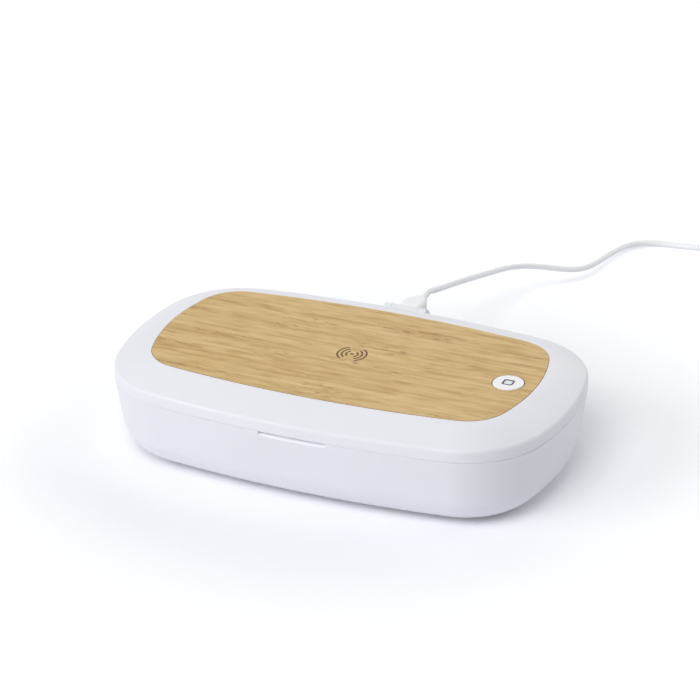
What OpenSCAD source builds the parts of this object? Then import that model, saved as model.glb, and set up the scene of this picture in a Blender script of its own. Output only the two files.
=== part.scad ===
// UV sanitizer box for a phone, with a charging pad in its lid.
// Millimetres. Origin on the floor under the middle of box and hinge, +X along
// its length, +Y towards the hinge, +Z up. The front faces -Y.

/* [Box] */
// Length of the box at its seam
body_len = 224; // [200:1:240]
// Width of the box at its seam
body_wid = 132; // [118:1:144]
// Height from the floor to the top of the wooden panel
body_h = 50; // [45:0.5:60]
// Height of the lid, from the seam to the top of the wooden panel
lid_h = 12.5; // [12:0.1:13.5]
// Gap between base and lid at the seam
seam_gap = 0.25; // [0.2:0.05:0.6]
// Radius of the box's corners at the seam
corner_r = 42; // [38:1:46]
// How far each long side bows out between its corners
bow_long = 4.7; // [2:0.1:6]
// How far each short side bows out between its corners
bow_short = 3.3; // [1.5:0.1:5]
// Wall thickness of base and lid
wall = 2.4; // [1.8:0.1:2.8]
// Lean of the base's wall from upright, in degrees
wall_draft = 8; // [5:0.5:9]
// Radius between the base's wall and its underside
bottom_r = 17; // [12:0.5:18]
// Chamfer on the edges that meet at the seam
edge_cut = 0.3; // [0.2:0.1:0.6]

/* [Lid] */
// Height of the shoulder between the lid's wall and its rim, above the seam
shoulder_up = 6.6; // [6:0.1:7.2]
// Radius of the shoulder
shoulder_r = 2.2; // [1.6:0.1:3.2]
// Width of the white rim round the wooden panel
rim_w = 18; // [16:0.5:21]
// How far the rim swells above a straight slope
rim_crown = 0.6; // [0.2:0.1:1]
// Depth of the rim's inner edge below the panel's top
rim_drop = 0.1; // [0:0.05:0.3]
// Thickness of the lid's deck under the panel
deck_t = 1.4; // [1.2:0.1:1.6]

/* [Wooden panel] */
// Thickness of the panel
panel_t = 1.6; // [1.2:0.1:2]
// Radius of the panel's corners
panel_corner_r = 21; // [18:0.5:24]
// How far the panel's long sides bow out
panel_bow_long = 5.1; // [3:0.1:7]
// How far the panel's short sides bow out
panel_bow_short = 5; // [3:0.1:6]
// Gap round the panel in its recess
panel_fit = 0.15; // [0.1:0.05:0.3]

/* [Button] */
// Distance of the button from the end of the panel
button_in = 13.5; // [12:0.5:17]
// Radius of the button's cap
button_r = 7.4; // [6.5:0.1:8]
// Gap round the cap
button_gap = 0.4; // [0.2:0.05:0.5]
// Height of the cap above the panel
button_proud = 0.3; // [0.1:0.1:0.6]
// How far the button travels
button_travel = 0.5; // [0.3:0.1:0.6]
// Width of the flange that keeps the cap in the lid
flange_w = 1.8; // [1.2:0.1:2.4]
// Thickness of that flange
flange_t = 1; // [0.8:0.1:1.2]
// Side of the square window in the cap
window_side = 3.7; // [3.4:0.1:5]
// Width of the dark frame round the window
window_frame = 0.9; // [0.5:0.05:1.1]
// Depth of the frame in the cap
frame_depth = 0.8; // [0.5:0.1:1.2]
// Side of the push switch under the button
switch_side = 6; // [5:0.1:6.5]
// Height of the push switch above its board
switch_h = 1.6; // [1.4:0.1:1.8]
// Wire thickness of the return spring
spring_wire = 0.4; // [0.3:0.05:0.5]
// Turns of the return spring
spring_turns = 3; // [2:0.5:3.5]
// Height in which the return spring stands
spring_room = 2.55; // [2.3:0.05:2.8]

/* [Hinge] */
// Distance of the hinge's axis behind the base's wall
hinge_out = 0.5; // [0.4:0.1:1]
// Height of the hinge's axis above the seam
hinge_up = 2.5; // [2.3:0.1:3]
// Radius of the hinge's barrel
hinge_r = 4; // [3.8:0.1:4.4]
// Width of the whole barrel
barrel_w = 22; // [21.5:0.5:28]
// Width of the middle knuckle, which stands on the base
knuckle_w = 14; // [13.6:0.2:15]
// Gap between knuckles
knuckle_gap = 0.3; // [0.2:0.05:0.5]
// Radius of the hinge pins
pin_r = 1; // [0.8:0.1:1.3]
// Running clearance round the pins in the lid, on the radius
pin_fit = 0.05; // [0.02:0.01:0.09]
// Clearance round the barrel in base and lid
barrel_gap = 0.4; // [0.3:0.1:0.6]
// Depth of the notch in the lid in front of the barrel
notch_depth = 4.6; // [4.6:0.1:5.4]

/* [Chamber] */
// Width of the ledge from the outer wall to the chamber's edge
ledge_w = 17; // [16:0.5:19]
// Depth of the ledge below the seam
ledge_drop = 1.5; // [1.2:0.1:2]
// Height of the chamber's floor
floor_h = 14; // [13.5:0.5:16]
// Wall thickness of the inner tray
tray_t = 1.6; // [1.2:0.1:1.8]
// Lean of the chamber's wall, in degrees
tray_draft = 5; // [3:0.5:7]
// Radius between the chamber's wall and floor
tray_r = 7; // [5:0.5:9]
// Fitting gap between the tray or liner and the shells
fit = 0.3; // [0.2:0.05:0.4]
// Thickness of the reflector sheets
sheet_t = 0.4; // [0.3:0.1:0.6]
// Gap between a reflector's edge and the chamber's corner fillet
sheet_inset = 1; // [0.5:0.5:3]
// Thickness of the lid's inner liner
liner_t = 1.6; // [1.4:0.1:1.8]
// Width of the seal
seal_w = 2.4; // [2:0.1:3]
// Distance from the chamber's edge to the seal
seal_from_edge = 2; // [1.5:0.1:3]
// Depth of the seal's groove in the liner
seal_groove = 0.8; // [0.5:0.1:1]
// Number of phone rests
rest_count = 4; // [2:1:6]
// Length of a phone rest
rest_len = 62; // [50:1:70]
// Width of a phone rest at its foot
rest_w = 4; // [3:0.5:6]
// Height of a phone rest
rest_h = 3; // [2:0.5:4]

/* [Lamps] */
// Distance of the lamps from the ends of the box
lamp_in = 55; // [52:0.5:58]
// Distance of the lamps from the middle along Y
lamp_y = 22; // [18:0.5:26]
// Radius of a lamp's window
lens_r = 4; // [3.6:0.1:4.5]
// Thickness of a lamp's window
lens_t = 1; // [0.8:0.1:1.2]
// Width of the lip that holds a window
lens_lip = 0.8; // [0.6:0.1:1.2]
// Side of a lamp chip
chip_side = 3.5; // [3:0.1:3.8]
// Height of a lamp chip
chip_h = 1.2; // [1:0.1:1.4]
// Thickness of every circuit board
board_t = 1; // [0.8:0.1:1.2]
// Width of a lamp board
board_w = 12; // [10:1:14]

/* [Control board] */
// Distance of the control board's stakes from the middle along Y
control_stake_y = 20; // [18:0.5:22]

/* [Charging pad] */
// Outer radius of the charging coil
pad_r = 22; // [20:0.5:24]
// Inner radius of the charging coil
pad_hole_r = 10; // [8:0.5:12]
// Thickness of the charging coil
pad_t = 1.1; // [0.8:0.1:1.3]
// How far the ferrite sheet stands out past the coil
ferrite_edge = 3; // [2:0.5:4]
// Thickness of the ferrite sheet
ferrite_t = 0.6; // [0.5:0.1:0.8]

/* [Feet and screws] */
// Distance of the feet from the ends and the sides of the box
foot_in = 38; // [36:0.5:40]
// Radius of a foot
foot_r = 5.8; // [5:0.1:6]
// Height of a foot below the base
foot_h = 1; // [0.8:0.1:1.5]
// Depth of a foot's recess
foot_seat = 1.2; // [1:0.1:1.4]
// Radius of a screw's shank
screw_r = 1.45; // [1.2:0.05:1.6]
// Radius of a screw's head
screw_head_r = 2.7; // [2.5:0.1:3]
// Height of a screw's head
screw_head_h = 1.6; // [1.4:0.1:1.8]
// Radius of a screw boss
boss_r = 3.6; // [3.2:0.1:4]

/* [Closure] */
// Distance of the closing magnets from the middle along X
magnet_x = 50; // [40:1:56]
// Radius of a magnet
magnet_r = 3.5; // [3:0.5:4]
// Thickness of a magnet
magnet_t = 2; // [1.5:0.1:2.4]
// Width of the finger notch at the front
finger_w = 34; // [28:1:40]
// Height of the finger notch
finger_h = 2; // [1.6:0.1:3]
// Depth of the finger notch into the wall
finger_d = 1.3; // [1:0.1:1.6]
// Height of the slot from the notch through the base's wall
finger_slot = 0.4; // [0.2:0.1:0.6]

/* [Cord] */
// Diameter of the cord
cord_d = 3; // [2.8:0.1:3.2]
// Width of the plug's body
plug_w = 11; // [10:0.5:12]
// Height of the plug's body
plug_h = 6.4; // [6:0.1:6.6]
// Length of the plug's body
plug_len = 10; // [8:0.5:14]
// Length of the neck behind the plug's body
neck_len = 4; // [3:0.5:5]
// Length of the strain relief
relief_len = 8; // [6:0.5:12]

/* [Hidden] */

// Facets of the outline in one quarter: short side, corner and long side
SHORT_STEPS = 3;
CORNER_STEPS = 8;
LONG_STEPS = 5;
$fn = 48;
eps = 0.01;
far = 30;
half_len = body_len / 2;
half_wid = body_wid / 2;
seam_h = body_h - lid_h;
shoulder_h = seam_h + shoulder_up;
button_x = half_len - rim_w - button_in;
lamp_x = half_len - lamp_in;
foot_x = half_len - foot_in;
foot_y = half_wid - foot_in;
base_top = seam_h - seam_gap / 2;
lid_low = seam_h + seam_gap / 2;
slant_wall = wall / cos(wall_draft);
ledge_z = seam_h - ledge_drop;
liner_low = lid_low + fit;

// Heights in the lid, from the deck under the panel down to the chamber's ceiling
lamp_gap = 0.15;
deck_low = body_h - panel_t - deck_t;
flange_z = deck_low - 0.1 - flange_t;
lid_board_z = flange_z - spring_room - board_t;
lid_chip_z = lid_board_z - chip_h;
ceiling_z = lid_chip_z - lamp_gap - lens_t;
ceiling_top = ceiling_z + liner_t - 0.2;

// Heights of the lamps under the chamber's floor
base_chip_z = floor_h - lens_t - lamp_gap - chip_h;
base_board_z = base_chip_z - board_t;

// The outer phone rests stand between the lamps at either end
rest_pitch = 2 * lamp_x / (rest_count - 1);

liner_in = wall + fit;
ceiling_in = ledge_w + 1.6;
seal_in = ledge_w - seal_from_edge - seal_w;
hinge_y = half_wid + hinge_out;
hinge_z = seam_h + hinge_up;
notch_y = hinge_y - hinge_r - 0.5 - (notch_depth - 4);

// ---- Outline: a rounded box whose four sides bow outwards ----

// One quarter's points, from the +X axis to the +Y axis, for half sizes hl and hw
function quarter(hl, hw, r, bl, bs) =
    let (a = hl - r, b = hw - r,
         long_r = (a * a + bl * bl) / (2 * bl),
         short_r = (b * b + bs * bs) / (2 * bs),
         long_c = [0, b - long_r],
         short_c = [a - short_r, 0],
         v = short_c - long_c,
         d = norm(v),
         t = (long_r * long_r - short_r * short_r + d * d) / (2 * d),
         h = sqrt(long_r * long_r - t * t),
         c = long_c + v * t / d + [v[1], -v[0]] * h / d,
         a1 = atan2(c[1] - short_c[1], c[0] - short_c[0]),
         a2 = atan2(c[1] - long_c[1], c[0] - long_c[0]))
    concat(
        arc_points(short_c, short_r + r, 0, a1, SHORT_STEPS),
        arc_points(c, r, a1, a2, CORNER_STEPS),
        arc_points(long_c, long_r + r, a2, 90, LONG_STEPS));

// Points along an arc, without its last one
function arc_points(c, r, from, to, steps) =
    [for (i = [0:steps - 1]) let (a = from + (to - from) * i / steps)
        c + r * [cos(a), sin(a)]];

// The closed outline made of four mirrored quarters
function outline(hl, hw, r, bl, bs) =
    let (q = quarter(hl, hw, r, bl, bs), n = len(q))
    concat(
        q,
        [[0, hw], for (i = [n - 1:-1:1]) [-q[i][0], q[i][1]]],
        [for (p = q) -p],
        [[0, -hw], for (i = [n - 1:-1:1]) [q[i][0], -q[i][1]]]);

// The box's own outline drawn in by a distance, and the panel's
function box_outline(inset) =
    outline(half_len - inset, half_wid - inset, corner_r - inset, bow_long, bow_short);
function panel_outline(inset) =
    outline(half_len - rim_w - inset, half_wid - rim_w - inset,
        panel_corner_r - inset, panel_bow_long, panel_bow_short);

function ring(inset, z) = [for (p = box_outline(inset)) [p[0], p[1], z]];
function panel_ring(inset, z) = [for (p = panel_outline(inset)) [p[0], p[1], z]];
function between(a, b, t, lift) =
    [for (i = [0:len(a) - 1]) a[i] + (b[i] - a[i]) * t + [0, 0, lift]];

// Where the long side's outer face stands at a distance x from the middle
function side_y(x) =
    let (a = half_len - corner_r, long_r = (a * a + bow_long * bow_long) / (2 * bow_long))
    half_wid - (long_r + corner_r) + sqrt(pow(long_r + corner_r, 2) - x * x);

// Screws and magnets stand on one line between the wall and the seal
rail_in = (liner_in + seal_in) / 2;

// A closed solid through rings that all have the same number of points
module loft(rings) {
    n = len(rings[0]);
    m = len(rings);
    points = [for (r = rings, p = r) p];
    sides = [for (j = [0:m - 2], i = [0:n - 1])
        let (k = (i + 1) % n, low = j * n, high = low + n)
        each [[low + i, high + i, high + k], [low + i, high + k, low + k]]];
    first = [[for (i = [0:n - 1]) i]];
    last = [[for (i = [n - 1:-1:0]) (m - 1) * n + i]];
    polyhedron(points = points, faces = concat(first, sides, last));
}

// A flat plate between two heights, inside the box's outline drawn in
module plate(inset, z0, z1) {
    translate([0, 0, z0]) linear_extrude(z1 - z0) polygon(box_outline(inset));
}

// A band between two insets and two heights
module band(outer, inner, z0, z1) {
    translate([0, 0, z0]) linear_extrude(z1 - z0) difference() {
        polygon(box_outline(outer));
        polygon(box_outline(inner));
    }
}

// The hinge stands out behind the box, so the box stands in front of the origin
// by half of that reach, and the origin is under the middle of the whole
module placed() {
    translate([0, -(hinge_out + hinge_r) / 2, 0]) children();
}

module at_corners(x, y) {
    for (sx = [-1, 1], sy = [-1, 1]) translate([sx * x, sy * y, 0]) children();
}

module tube(r_out, r_in, h) {
    difference() {
        cylinder(r = r_out, h = h);
        translate([0, 0, -1]) cylinder(r = r_in, h = h + 2);
    }
}

// A cylinder along X from x0 to x1, on the hinge's axis
module on_hinge(r, x0, x1) {
    translate([x0, hinge_y, hinge_z]) rotate([0, 90, 0]) cylinder(r = r, h = x1 - x0);
}

// ---- Base ----

// Inset of the bottom fillet's centre, and the wall's profile round it
fillet_in = (base_top - foot_h - bottom_r) * tan(wall_draft) + bottom_r / cos(wall_draft);
function fillet_ring(r, z0, a) = ring(fillet_in - r * sin(a), z0 + r * (1 - cos(a)));

BASE_STEPS = 8;
function base_rings() =
    let (top_a = 90 - wall_draft, r_in = bottom_r - wall)
    concat(
        [for (i = [0:BASE_STEPS]) fillet_ring(bottom_r, foot_h, top_a * i / BASE_STEPS)],
        [ring(edge_cut * tan(wall_draft), base_top - edge_cut), ring(edge_cut, base_top),
         ring(slant_wall, base_top)],
        [for (i = [BASE_STEPS - 2:-1:0])
            fillet_ring(r_in, foot_h + wall, top_a * i / (BASE_STEPS - 2))]);

pillar_top = floor_h - tray_t - 5.4;
head_z = foot_h + foot_seat + fit;
screw_len = pillar_top - head_z - screw_head_h + 4;

module base_shell() placed() color("white") difference() {
    union() {
        loft(base_rings());
        at_corners(foot_x, foot_y) translate([0, 0, foot_h])
            cylinder(r = foot_r + 1.2, h = pillar_top - foot_h);
        hinge_block();
    }
    at_corners(foot_x, foot_y) {
        translate([0, 0, foot_h - 1]) cylinder(r = foot_r, h = foot_seat + 1);
        translate([0, 0, foot_h]) cylinder(r = screw_head_r + fit,
            h = head_z + screw_head_h - foot_h);
        translate([0, 0, foot_h]) cylinder(r = screw_r + 0.2, h = pillar_top);
    }
    for (s = [-1, 1]) {
        on_hinge(hinge_r + barrel_gap,
            s > 0 ? knuckle_w / 2 : -barrel_w / 2 - barrel_gap,
            s > 0 ? barrel_w / 2 + barrel_gap : -knuckle_w / 2);
        on_hinge(pin_r, s > 0 ? pin_in : -knuckle_w, s > 0 ? knuckle_w : -pin_in);
    }
    socket_pocket();
    finger_notch();
}

// The middle knuckle on its foot, which stands out behind the wall
module hinge_block() {
    foot_z = seam_h - 10;
    wall_y = half_wid - (base_top - foot_z) * tan(wall_draft);
    translate([-knuckle_w / 2, 0, 0]) rotate([90, 0, 90]) linear_extrude(knuckle_w) {
        translate([hinge_y, hinge_z]) circle(r = hinge_r);
        polygon([[half_wid - wall, hinge_z], [half_wid - wall, foot_z],
            [wall_y, foot_z], [hinge_y + hinge_r, seam_h - 3],
            [hinge_y + hinge_r, hinge_z]]);
    }
}

module finger_notch() {
    y = -side_y(finger_w / 2);
    rotate([90, 0, 90]) translate([0, 0, -finger_w / 2]) linear_extrude(finger_w)
        polygon([[-half_wid - 1, base_top - finger_h], [y - 0.3, base_top - finger_h],
            [y + finger_d, base_top - finger_slot], [y + wall + 1, base_top - finger_slot],
            [y + wall + 1, base_top + 1], [-half_wid - 1, base_top + 1]]);
}

// Socket, cut out and lead way in the middle knuckle
socket_w = 8.9;
socket_h = 3.2;
socket_len = 7.3;
socket_y = hinge_y + hinge_r - socket_len;
pin_in = socket_w / 2 + 0.7;
lead_w = 5;
lead_t = 0.8;
lead_z = seam_h - 6.5;

// A flat bar along Y with round edges, centred on the socket's axis
module slot_bar(w, h, y0, y1) {
    translate([0, y1, hinge_z]) rotate([90, 0, 0]) linear_extrude(y1 - y0) {
        square([w - h, h], center = true);
        for (s = [-1, 1]) translate([s * (w - h) / 2, 0]) circle(r = h / 2);
    }
}

module socket_pocket() {
    slot_bar(socket_w, socket_h, socket_y, hinge_y + hinge_r + 1);
    translate([-lead_w / 2 - 0.4, half_wid - 7, lead_z - 0.4])
        cube([lead_w + 0.8, 5.8, hinge_z - lead_z]);
}

module base_feet() placed() color("dimgray") at_corners(foot_x, foot_y)
    rotate_extrude() polygon([[0, 0], [foot_r - 1, 0], [foot_r - 0.3, 0.3],
        [foot_r - fit / 3, foot_h], [foot_r - fit / 3, foot_h + foot_seat],
        [0, foot_h + foot_seat]]);

// A pan head with a cross slot on a round shank, its head down at z = 0
module screw(len) {
    difference() {
        union() {
            rotate_extrude() polygon([[0, 0], [screw_head_r - 0.7, 0],
                [screw_head_r, 0.6], [screw_head_r, screw_head_h], [0, screw_head_h]]);
            cylinder(r = screw_r, h = screw_head_h + len);
        }
        for (a = [0, 90]) rotate([0, 0, a]) translate([-1.4, -0.25, -1]) cube([2.8, 0.5, 1.8]);
    }
}

module base_screws() placed() color("silver") at_corners(foot_x, foot_y)
    translate([0, 0, head_z]) screw(screw_len);

// ---- Chamber ----

TRAY_STEPS = 5;
tray_fillet_in = ledge_w + (ledge_z - floor_h - tray_r) * tan(tray_draft)
    + tray_r / cos(tray_draft);
function tray_ring(r, z0, a) = ring(tray_fillet_in - r * sin(a), z0 + r * (1 - cos(a)));
flange_in = slant_wall + fit;

function tray_rings() =
    let (top_a = 90 - tray_draft, low = floor_h - tray_t, r_out = tray_r + tray_t)
    concat(
        [for (i = [0:TRAY_STEPS]) tray_ring(r_out, low, top_a * i / TRAY_STEPS)],
        [ring(ledge_w - tray_t, ledge_z - tray_t), ring(flange_in + 0.25, ledge_z - tray_t),
         ring(flange_in, ledge_z), ring(ledge_w - 0.8, ledge_z),
         ring(ledge_w - 0.2, ledge_z - 0.25), ring(ledge_w, ledge_z - 0.8)],
        [for (i = [TRAY_STEPS:-1:0]) tray_ring(tray_r, floor_h, top_a * i / TRAY_STEPS)]);

// Screw bosses hang from the tray's floor onto the base's pillars
module inner_tray() placed() color("whitesmoke") difference() {
    union() {
        loft(tray_rings());
        at_corners(foot_x, foot_y) translate([0, 0, pillar_top])
            cylinder(r = boss_r, h = floor_h - tray_t / 2 - pillar_top);
        at_corners(lamp_x, 0) translate([0, 0, base_board_z - 0.6])
            cylinder(r = stake_r, h = floor_h - tray_t / 2 - base_board_z + 0.6);
        magnet_cups();
    }
    at_corners(foot_x, foot_y) translate([0, 0, pillar_top - 1])
        cylinder(r = screw_r + 0.05, h = 5.6);
    at_corners(lamp_x, lamp_y) lens_seat(floor_h, -1);
    at_magnets() translate([0, 0, magnet_low - 1]) cylinder(r = magnet_r + 0.1, h = magnet_t + 1);
    translate([sensor_magnet_x, 0, ledge_z - tray_t - 1])
        cylinder(r = sensor_magnet_r + 0.1, h = tray_t + 0.6);
    translate([-lead_w / 2 - 0.4, half_wid - 4, ledge_z - tray_t - 1])
        cube([lead_w + 0.8, 5, tray_t + 2]);
}

module magnet_cups() {
    at_magnets() translate([0, 0, magnet_low]) cylinder(r = magnet_r + 0.8, h = magnet_t);
    translate([sensor_magnet_x, 0, ledge_z - tray_t - 1])
        cylinder(r = sensor_magnet_r + 1, h = 1.5);
}

module floor_reflector() placed() color("lightgray") difference() {
    plate(tray_fillet_in + sheet_inset, floor_h, floor_h + sheet_t);
    at_corners(lamp_x, lamp_y) translate([0, 0, floor_h - 1]) cylinder(r = lens_r + 0.6, h = 3);
}

// Soft bars across the chamber, with round tops, that carry the phone
module phone_rests() placed() color("gainsboro") for (i = [0:rest_count - 1])
    translate([(i - (rest_count - 1) / 2) * rest_pitch, rest_len / 2, floor_h + sheet_t])
        rotate([90, 0, 0]) linear_extrude(rest_len) {
            translate([0, rest_h - rest_w / 4]) circle(r = rest_w / 4);
            polygon([[-rest_w / 2, 0], [rest_w / 2, 0], [rest_w / 4, rest_h - rest_w / 4],
                [-rest_w / 4, rest_h - rest_w / 4]]);
        }

// ---- Lamps ----

stake_r = 1.4;

// A stepped hole for a window flush with a face; dir is the side of the lamp
module lens_seat(face_z, dir) {
    translate([0, 0, dir < 0 ? face_z - lens_t : face_z - 1])
        cylinder(r = lens_r + 0.05, h = lens_t + 1);
    translate([0, 0, dir < 0 ? face_z - 4 : face_z]) cylinder(r = lens_r - lens_lip, h = 4);
}

module lens() {
    rotate_extrude() polygon([[0, 0], [lens_r, 0], [lens_r, lens_t - 0.2],
        [lens_r - 0.2, lens_t], [0, lens_t]]);
}

module chip() {
    translate([-chip_side / 2, -chip_side / 2, 0]) cube([chip_side, chip_side, chip_h]);
}

module lamp_board(z) {
    for (s = [-1, 1]) translate([s * lamp_x, 0, z]) difference() {
        translate([-board_w / 2, -lamp_y - board_w / 2, 0])
            cube([board_w, 2 * lamp_y + board_w, board_t]);
        translate([0, 0, -1]) cylinder(r = stake_r + 0.1, h = board_t + 2);
    }
}

module base_lamp_boards() placed() color("darkgreen") lamp_board(base_board_z);
module base_lamp_chips() placed() color("gold") at_corners(lamp_x, lamp_y)
    translate([0, 0, base_chip_z]) chip();
module base_lamp_windows() placed() color("lightblue") at_corners(lamp_x, lamp_y)
    translate([0, 0, floor_h - lens_t]) lens();
module lid_lamp_boards() placed() color("darkgreen") lamp_board(lid_board_z);
module lid_lamp_chips() placed() color("gold") at_corners(lamp_x, lamp_y)
    translate([0, 0, lid_chip_z]) chip();
module lid_lamp_windows() placed() color("lightblue") at_corners(lamp_x, lamp_y)
    translate([0, 0, ceiling_z + lens_t]) mirror([0, 0, 1]) lens();

// ---- Power and closure in the base ----

power_w = 34;
power_z = floor_h + 2;
power_y = half_wid - ledge_w + tray_t / cos(tray_draft) + 0.4;
magnet_y = side_y(magnet_x) - rail_in;
magnet_low = ledge_z - 0.6 - magnet_t;
sensor_magnet_x = half_len - ledge_w / 2 - 1;
sensor_magnet_r = 2.5;

module at_magnets() {
    for (s = [-1, 1]) translate([s * magnet_x, -magnet_y, 0]) children();
}

module power_board() placed() color("darkgreen") difference() {
    translate([-power_w / 2, power_y, power_z])
        cube([power_w, board_t, lead_z + lead_t - power_z]);
    for (s = [-1, 1]) translate([s * (power_w / 2 - 3), power_y - 1, power_z + 3])
        rotate([-90, 0, 0]) cylinder(r = 1.2, h = board_t + 2);
}

module usb_socket() placed() color("silver") difference() {
    slot_bar(socket_w - 0.1, socket_h - 0.1, socket_y + 0.1, hinge_y + hinge_r - 0.2);
    slot_bar(socket_w - 0.6, socket_h - 0.6, socket_y + 0.8, hinge_y + hinge_r + 1);
}

module socket_lead() placed() color("dimgray") {
    y0 = power_y + board_t;
    y1 = half_wid - 2.2;
    translate([-lead_w / 2, y0, lead_z]) cube([lead_w, y1 - y0, lead_t]);
    translate([-lead_w / 2, y1 - lead_t, lead_z])
        cube([lead_w, lead_t, hinge_z - socket_h / 2 - lead_z + 0.05]);
}

module base_magnets() placed() color("silver") at_magnets()
    translate([0, 0, magnet_low]) cylinder(r = magnet_r, h = magnet_t);

module sensor_magnet() placed() color("silver")
    translate([sensor_magnet_x, 0, ledge_z - tray_t - 1])
        cylinder(r = sensor_magnet_r, h = tray_t + 0.5);

module hinge_pins() placed() color("silver") {
    on_hinge(pin_r, pin_in, barrel_w / 2 - 0.3);
    on_hinge(pin_r, -barrel_w / 2 + 0.3, -pin_in);
}

// ---- Lid ----

SHOULDER_STEPS = 4;
RIM_STEPS = 4;
rim_top = body_h - rim_drop;
rim_angle = atan2(rim_top - shoulder_h, rim_w);

function lid_rings() =
    let (turn = 90 - rim_angle - 6,
         last_in = shoulder_r * (1 - cos(turn)),
         last_z = shoulder_h - shoulder_r * (1 - sin(turn)),
         brow = ring(last_in, last_z),
         edge = panel_ring(-panel_fit - 0.25, rim_top))
    concat(
        [panel_ring(1, deck_low), ring(wall + 3, shoulder_h - 0.5),
         ring(wall + 0.4, shoulder_h - 2.1), ring(wall, shoulder_h - 3.7), ring(wall, lid_low),
         ring(edge_cut, lid_low), ring(0, lid_low + edge_cut)],
        [for (i = [0:SHOULDER_STEPS]) let (a = turn * i / SHOULDER_STEPS)
            ring(shoulder_r * (1 - cos(a)), shoulder_h - shoulder_r * (1 - sin(a)))],
        [for (i = [1:RIM_STEPS]) let (t = i / RIM_STEPS)
            between(brow, edge, t, rim_crown * 4 * t * (1 - t))],
        [panel_ring(-panel_fit, rim_top - 0.25), panel_ring(-panel_fit, body_h - panel_t)]);

cup_h = screw_head_h + 1;
lid_boss_low = liner_low + cup_h;
lid_boss_top = shoulder_h + 0.8;
lid_screw_len = 3.4;
mid_boss_x = 26;
CORNER_BOSS = box_outline(rail_in)[SHORT_STEPS + CORNER_STEPS / 2];
LID_BOSSES = [CORNER_BOSS, [mid_boss_x, side_y(mid_boss_x) - rail_in]];

module at_lid_bosses() {
    for (b = LID_BOSSES, sx = [-1, 1], sy = [-1, 1])
        translate([sx * b[0], sy * b[1], 0]) children();
}

module lid_shell() placed() color("white") difference() {
    union() {
        loft(lid_rings());
        at_lid_bosses() translate([0, 0, lid_boss_low])
            cylinder(r = boss_r - 0.8, h = lid_boss_top - lid_boss_low);
        lid_knuckles();
        notch_walls();
    }
    at_lid_bosses() translate([0, 0, lid_boss_low - 1])
        cylinder(r = screw_r + 0.05, h = lid_screw_len + 0.4);
    translate([-knuckle_w / 2 - knuckle_gap, notch_y, lid_low - 1])
        cube([knuckle_w + 2 * knuckle_gap, far, far]);
    on_hinge(pin_r + pin_fit, -barrel_w, barrel_w);
    translate([button_x, 0, deck_low - 1])
        cylinder(r = button_r + button_gap, h = deck_t + panel_t + 2);
}

module lid_knuckles() {
    for (s = [-1, 1]) {
        x0 = s > 0 ? knuckle_w / 2 + knuckle_gap : -barrel_w / 2;
        w = (barrel_w - knuckle_w) / 2 - knuckle_gap;
        translate([x0, 0, 0]) rotate([90, 0, 90]) linear_extrude(w) {
            translate([hinge_y, hinge_z]) circle(r = hinge_r);
            polygon([[half_wid - wall, lid_low], [hinge_y - 1, lid_low],
                [hinge_y, hinge_z + hinge_r], [half_wid - wall, hinge_z + hinge_r - 0.6]]);
        }
    }
}

// Walls that close the lid's hollow round the notch
module notch_walls() {
    w = knuckle_w / 2 + knuckle_gap;
    t = wall - 0.6;
    top = shoulder_h - 0.4;
    translate([-w - t, notch_y - t, lid_low + 0.1]) cube([2 * (w + t), t, top - lid_low]);
    for (s = [-1, 1]) translate([s > 0 ? w : -w - t, notch_y - t, lid_low + 0.1])
        cube([t, half_wid - wall / 2 - notch_y + t, top - lid_low - 1]);
}

module bamboo_panel() placed() color("burlywood") difference() {
    translate([0, 0, body_h - panel_t]) linear_extrude(panel_t) polygon(panel_outline(0));
    translate([button_x, 0, body_h - panel_t - 1])
        cylinder(r = button_r + button_gap, h = panel_t + 2);
}

module lid_liner() placed() color("whitesmoke") difference() {
    union() {
        band(liner_in, ledge_w, liner_low, liner_low + liner_t);
        band(ledge_w - 0.01, ceiling_in, liner_low, ceiling_top);
        plate(ceiling_in - 0.01, ceiling_z, ceiling_top);
        at_corners(lamp_x, 0) translate([0, 0, ceiling_z + 0.5])
            cylinder(r = stake_r, h = lid_board_z + board_t + 0.6 - ceiling_z - 0.5);
        for (sy = [-1, 1]) translate([control_x, sy * control_stake_y, ceiling_z + 0.5])
            cylinder(r = stake_r, h = lid_board_z + board_t + 0.6 - ceiling_z - 0.5);
        at_lid_bosses() translate([0, 0, liner_low]) cylinder(r = screw_head_r + 0.8, h = cup_h);
    }
    band(seal_in - 0.1, seal_in + seal_w + 0.1, liner_low - 1, liner_low + seal_groove);
    at_lid_bosses() {
        translate([0, 0, liner_low - 1]) cylinder(r = screw_r + 0.2, h = cup_h + 2);
        translate([0, 0, liner_low - 1]) cylinder(r = screw_head_r + 0.2, h = screw_head_h + 1);
    }
    at_corners(lamp_x, lamp_y) lens_seat(ceiling_z, 1);
    at_magnets() translate([0, 0, liner_low + liner_t - 1]) cylinder(r = magnet_r + 0.1, h = 3);
    translate([-barrel_w / 2 - 0.6, notch_y - wall + 0.3, liner_low - 1])
        cube([barrel_w + 1.2, far, far]);
}

module lid_reflector() placed() color("lightgray") difference() {
    plate(ceiling_in + sheet_inset, ceiling_z - sheet_t, ceiling_z);
    at_corners(lamp_x, lamp_y) translate([0, 0, ceiling_z - 2]) cylinder(r = lens_r + 0.6, h = 3);
}

module lid_seal() placed() color("gray")
    band(seal_in, seal_in + seal_w, ledge_z + fit, liner_low + seal_groove);

module lid_screws() placed() color("silver") at_lid_bosses()
    translate([0, 0, liner_low]) screw(lid_screw_len);

module lid_magnets() placed() color("silver") at_magnets()
    translate([0, 0, liner_low + liner_t - 1]) cylinder(r = magnet_r, h = magnet_t);

// ---- Charging pad and controls in the lid ----

module charging_coil() placed() color("peru")
    translate([0, 0, deck_low - pad_t - 0.05]) tube(pad_r, pad_hole_r, pad_t);

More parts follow.
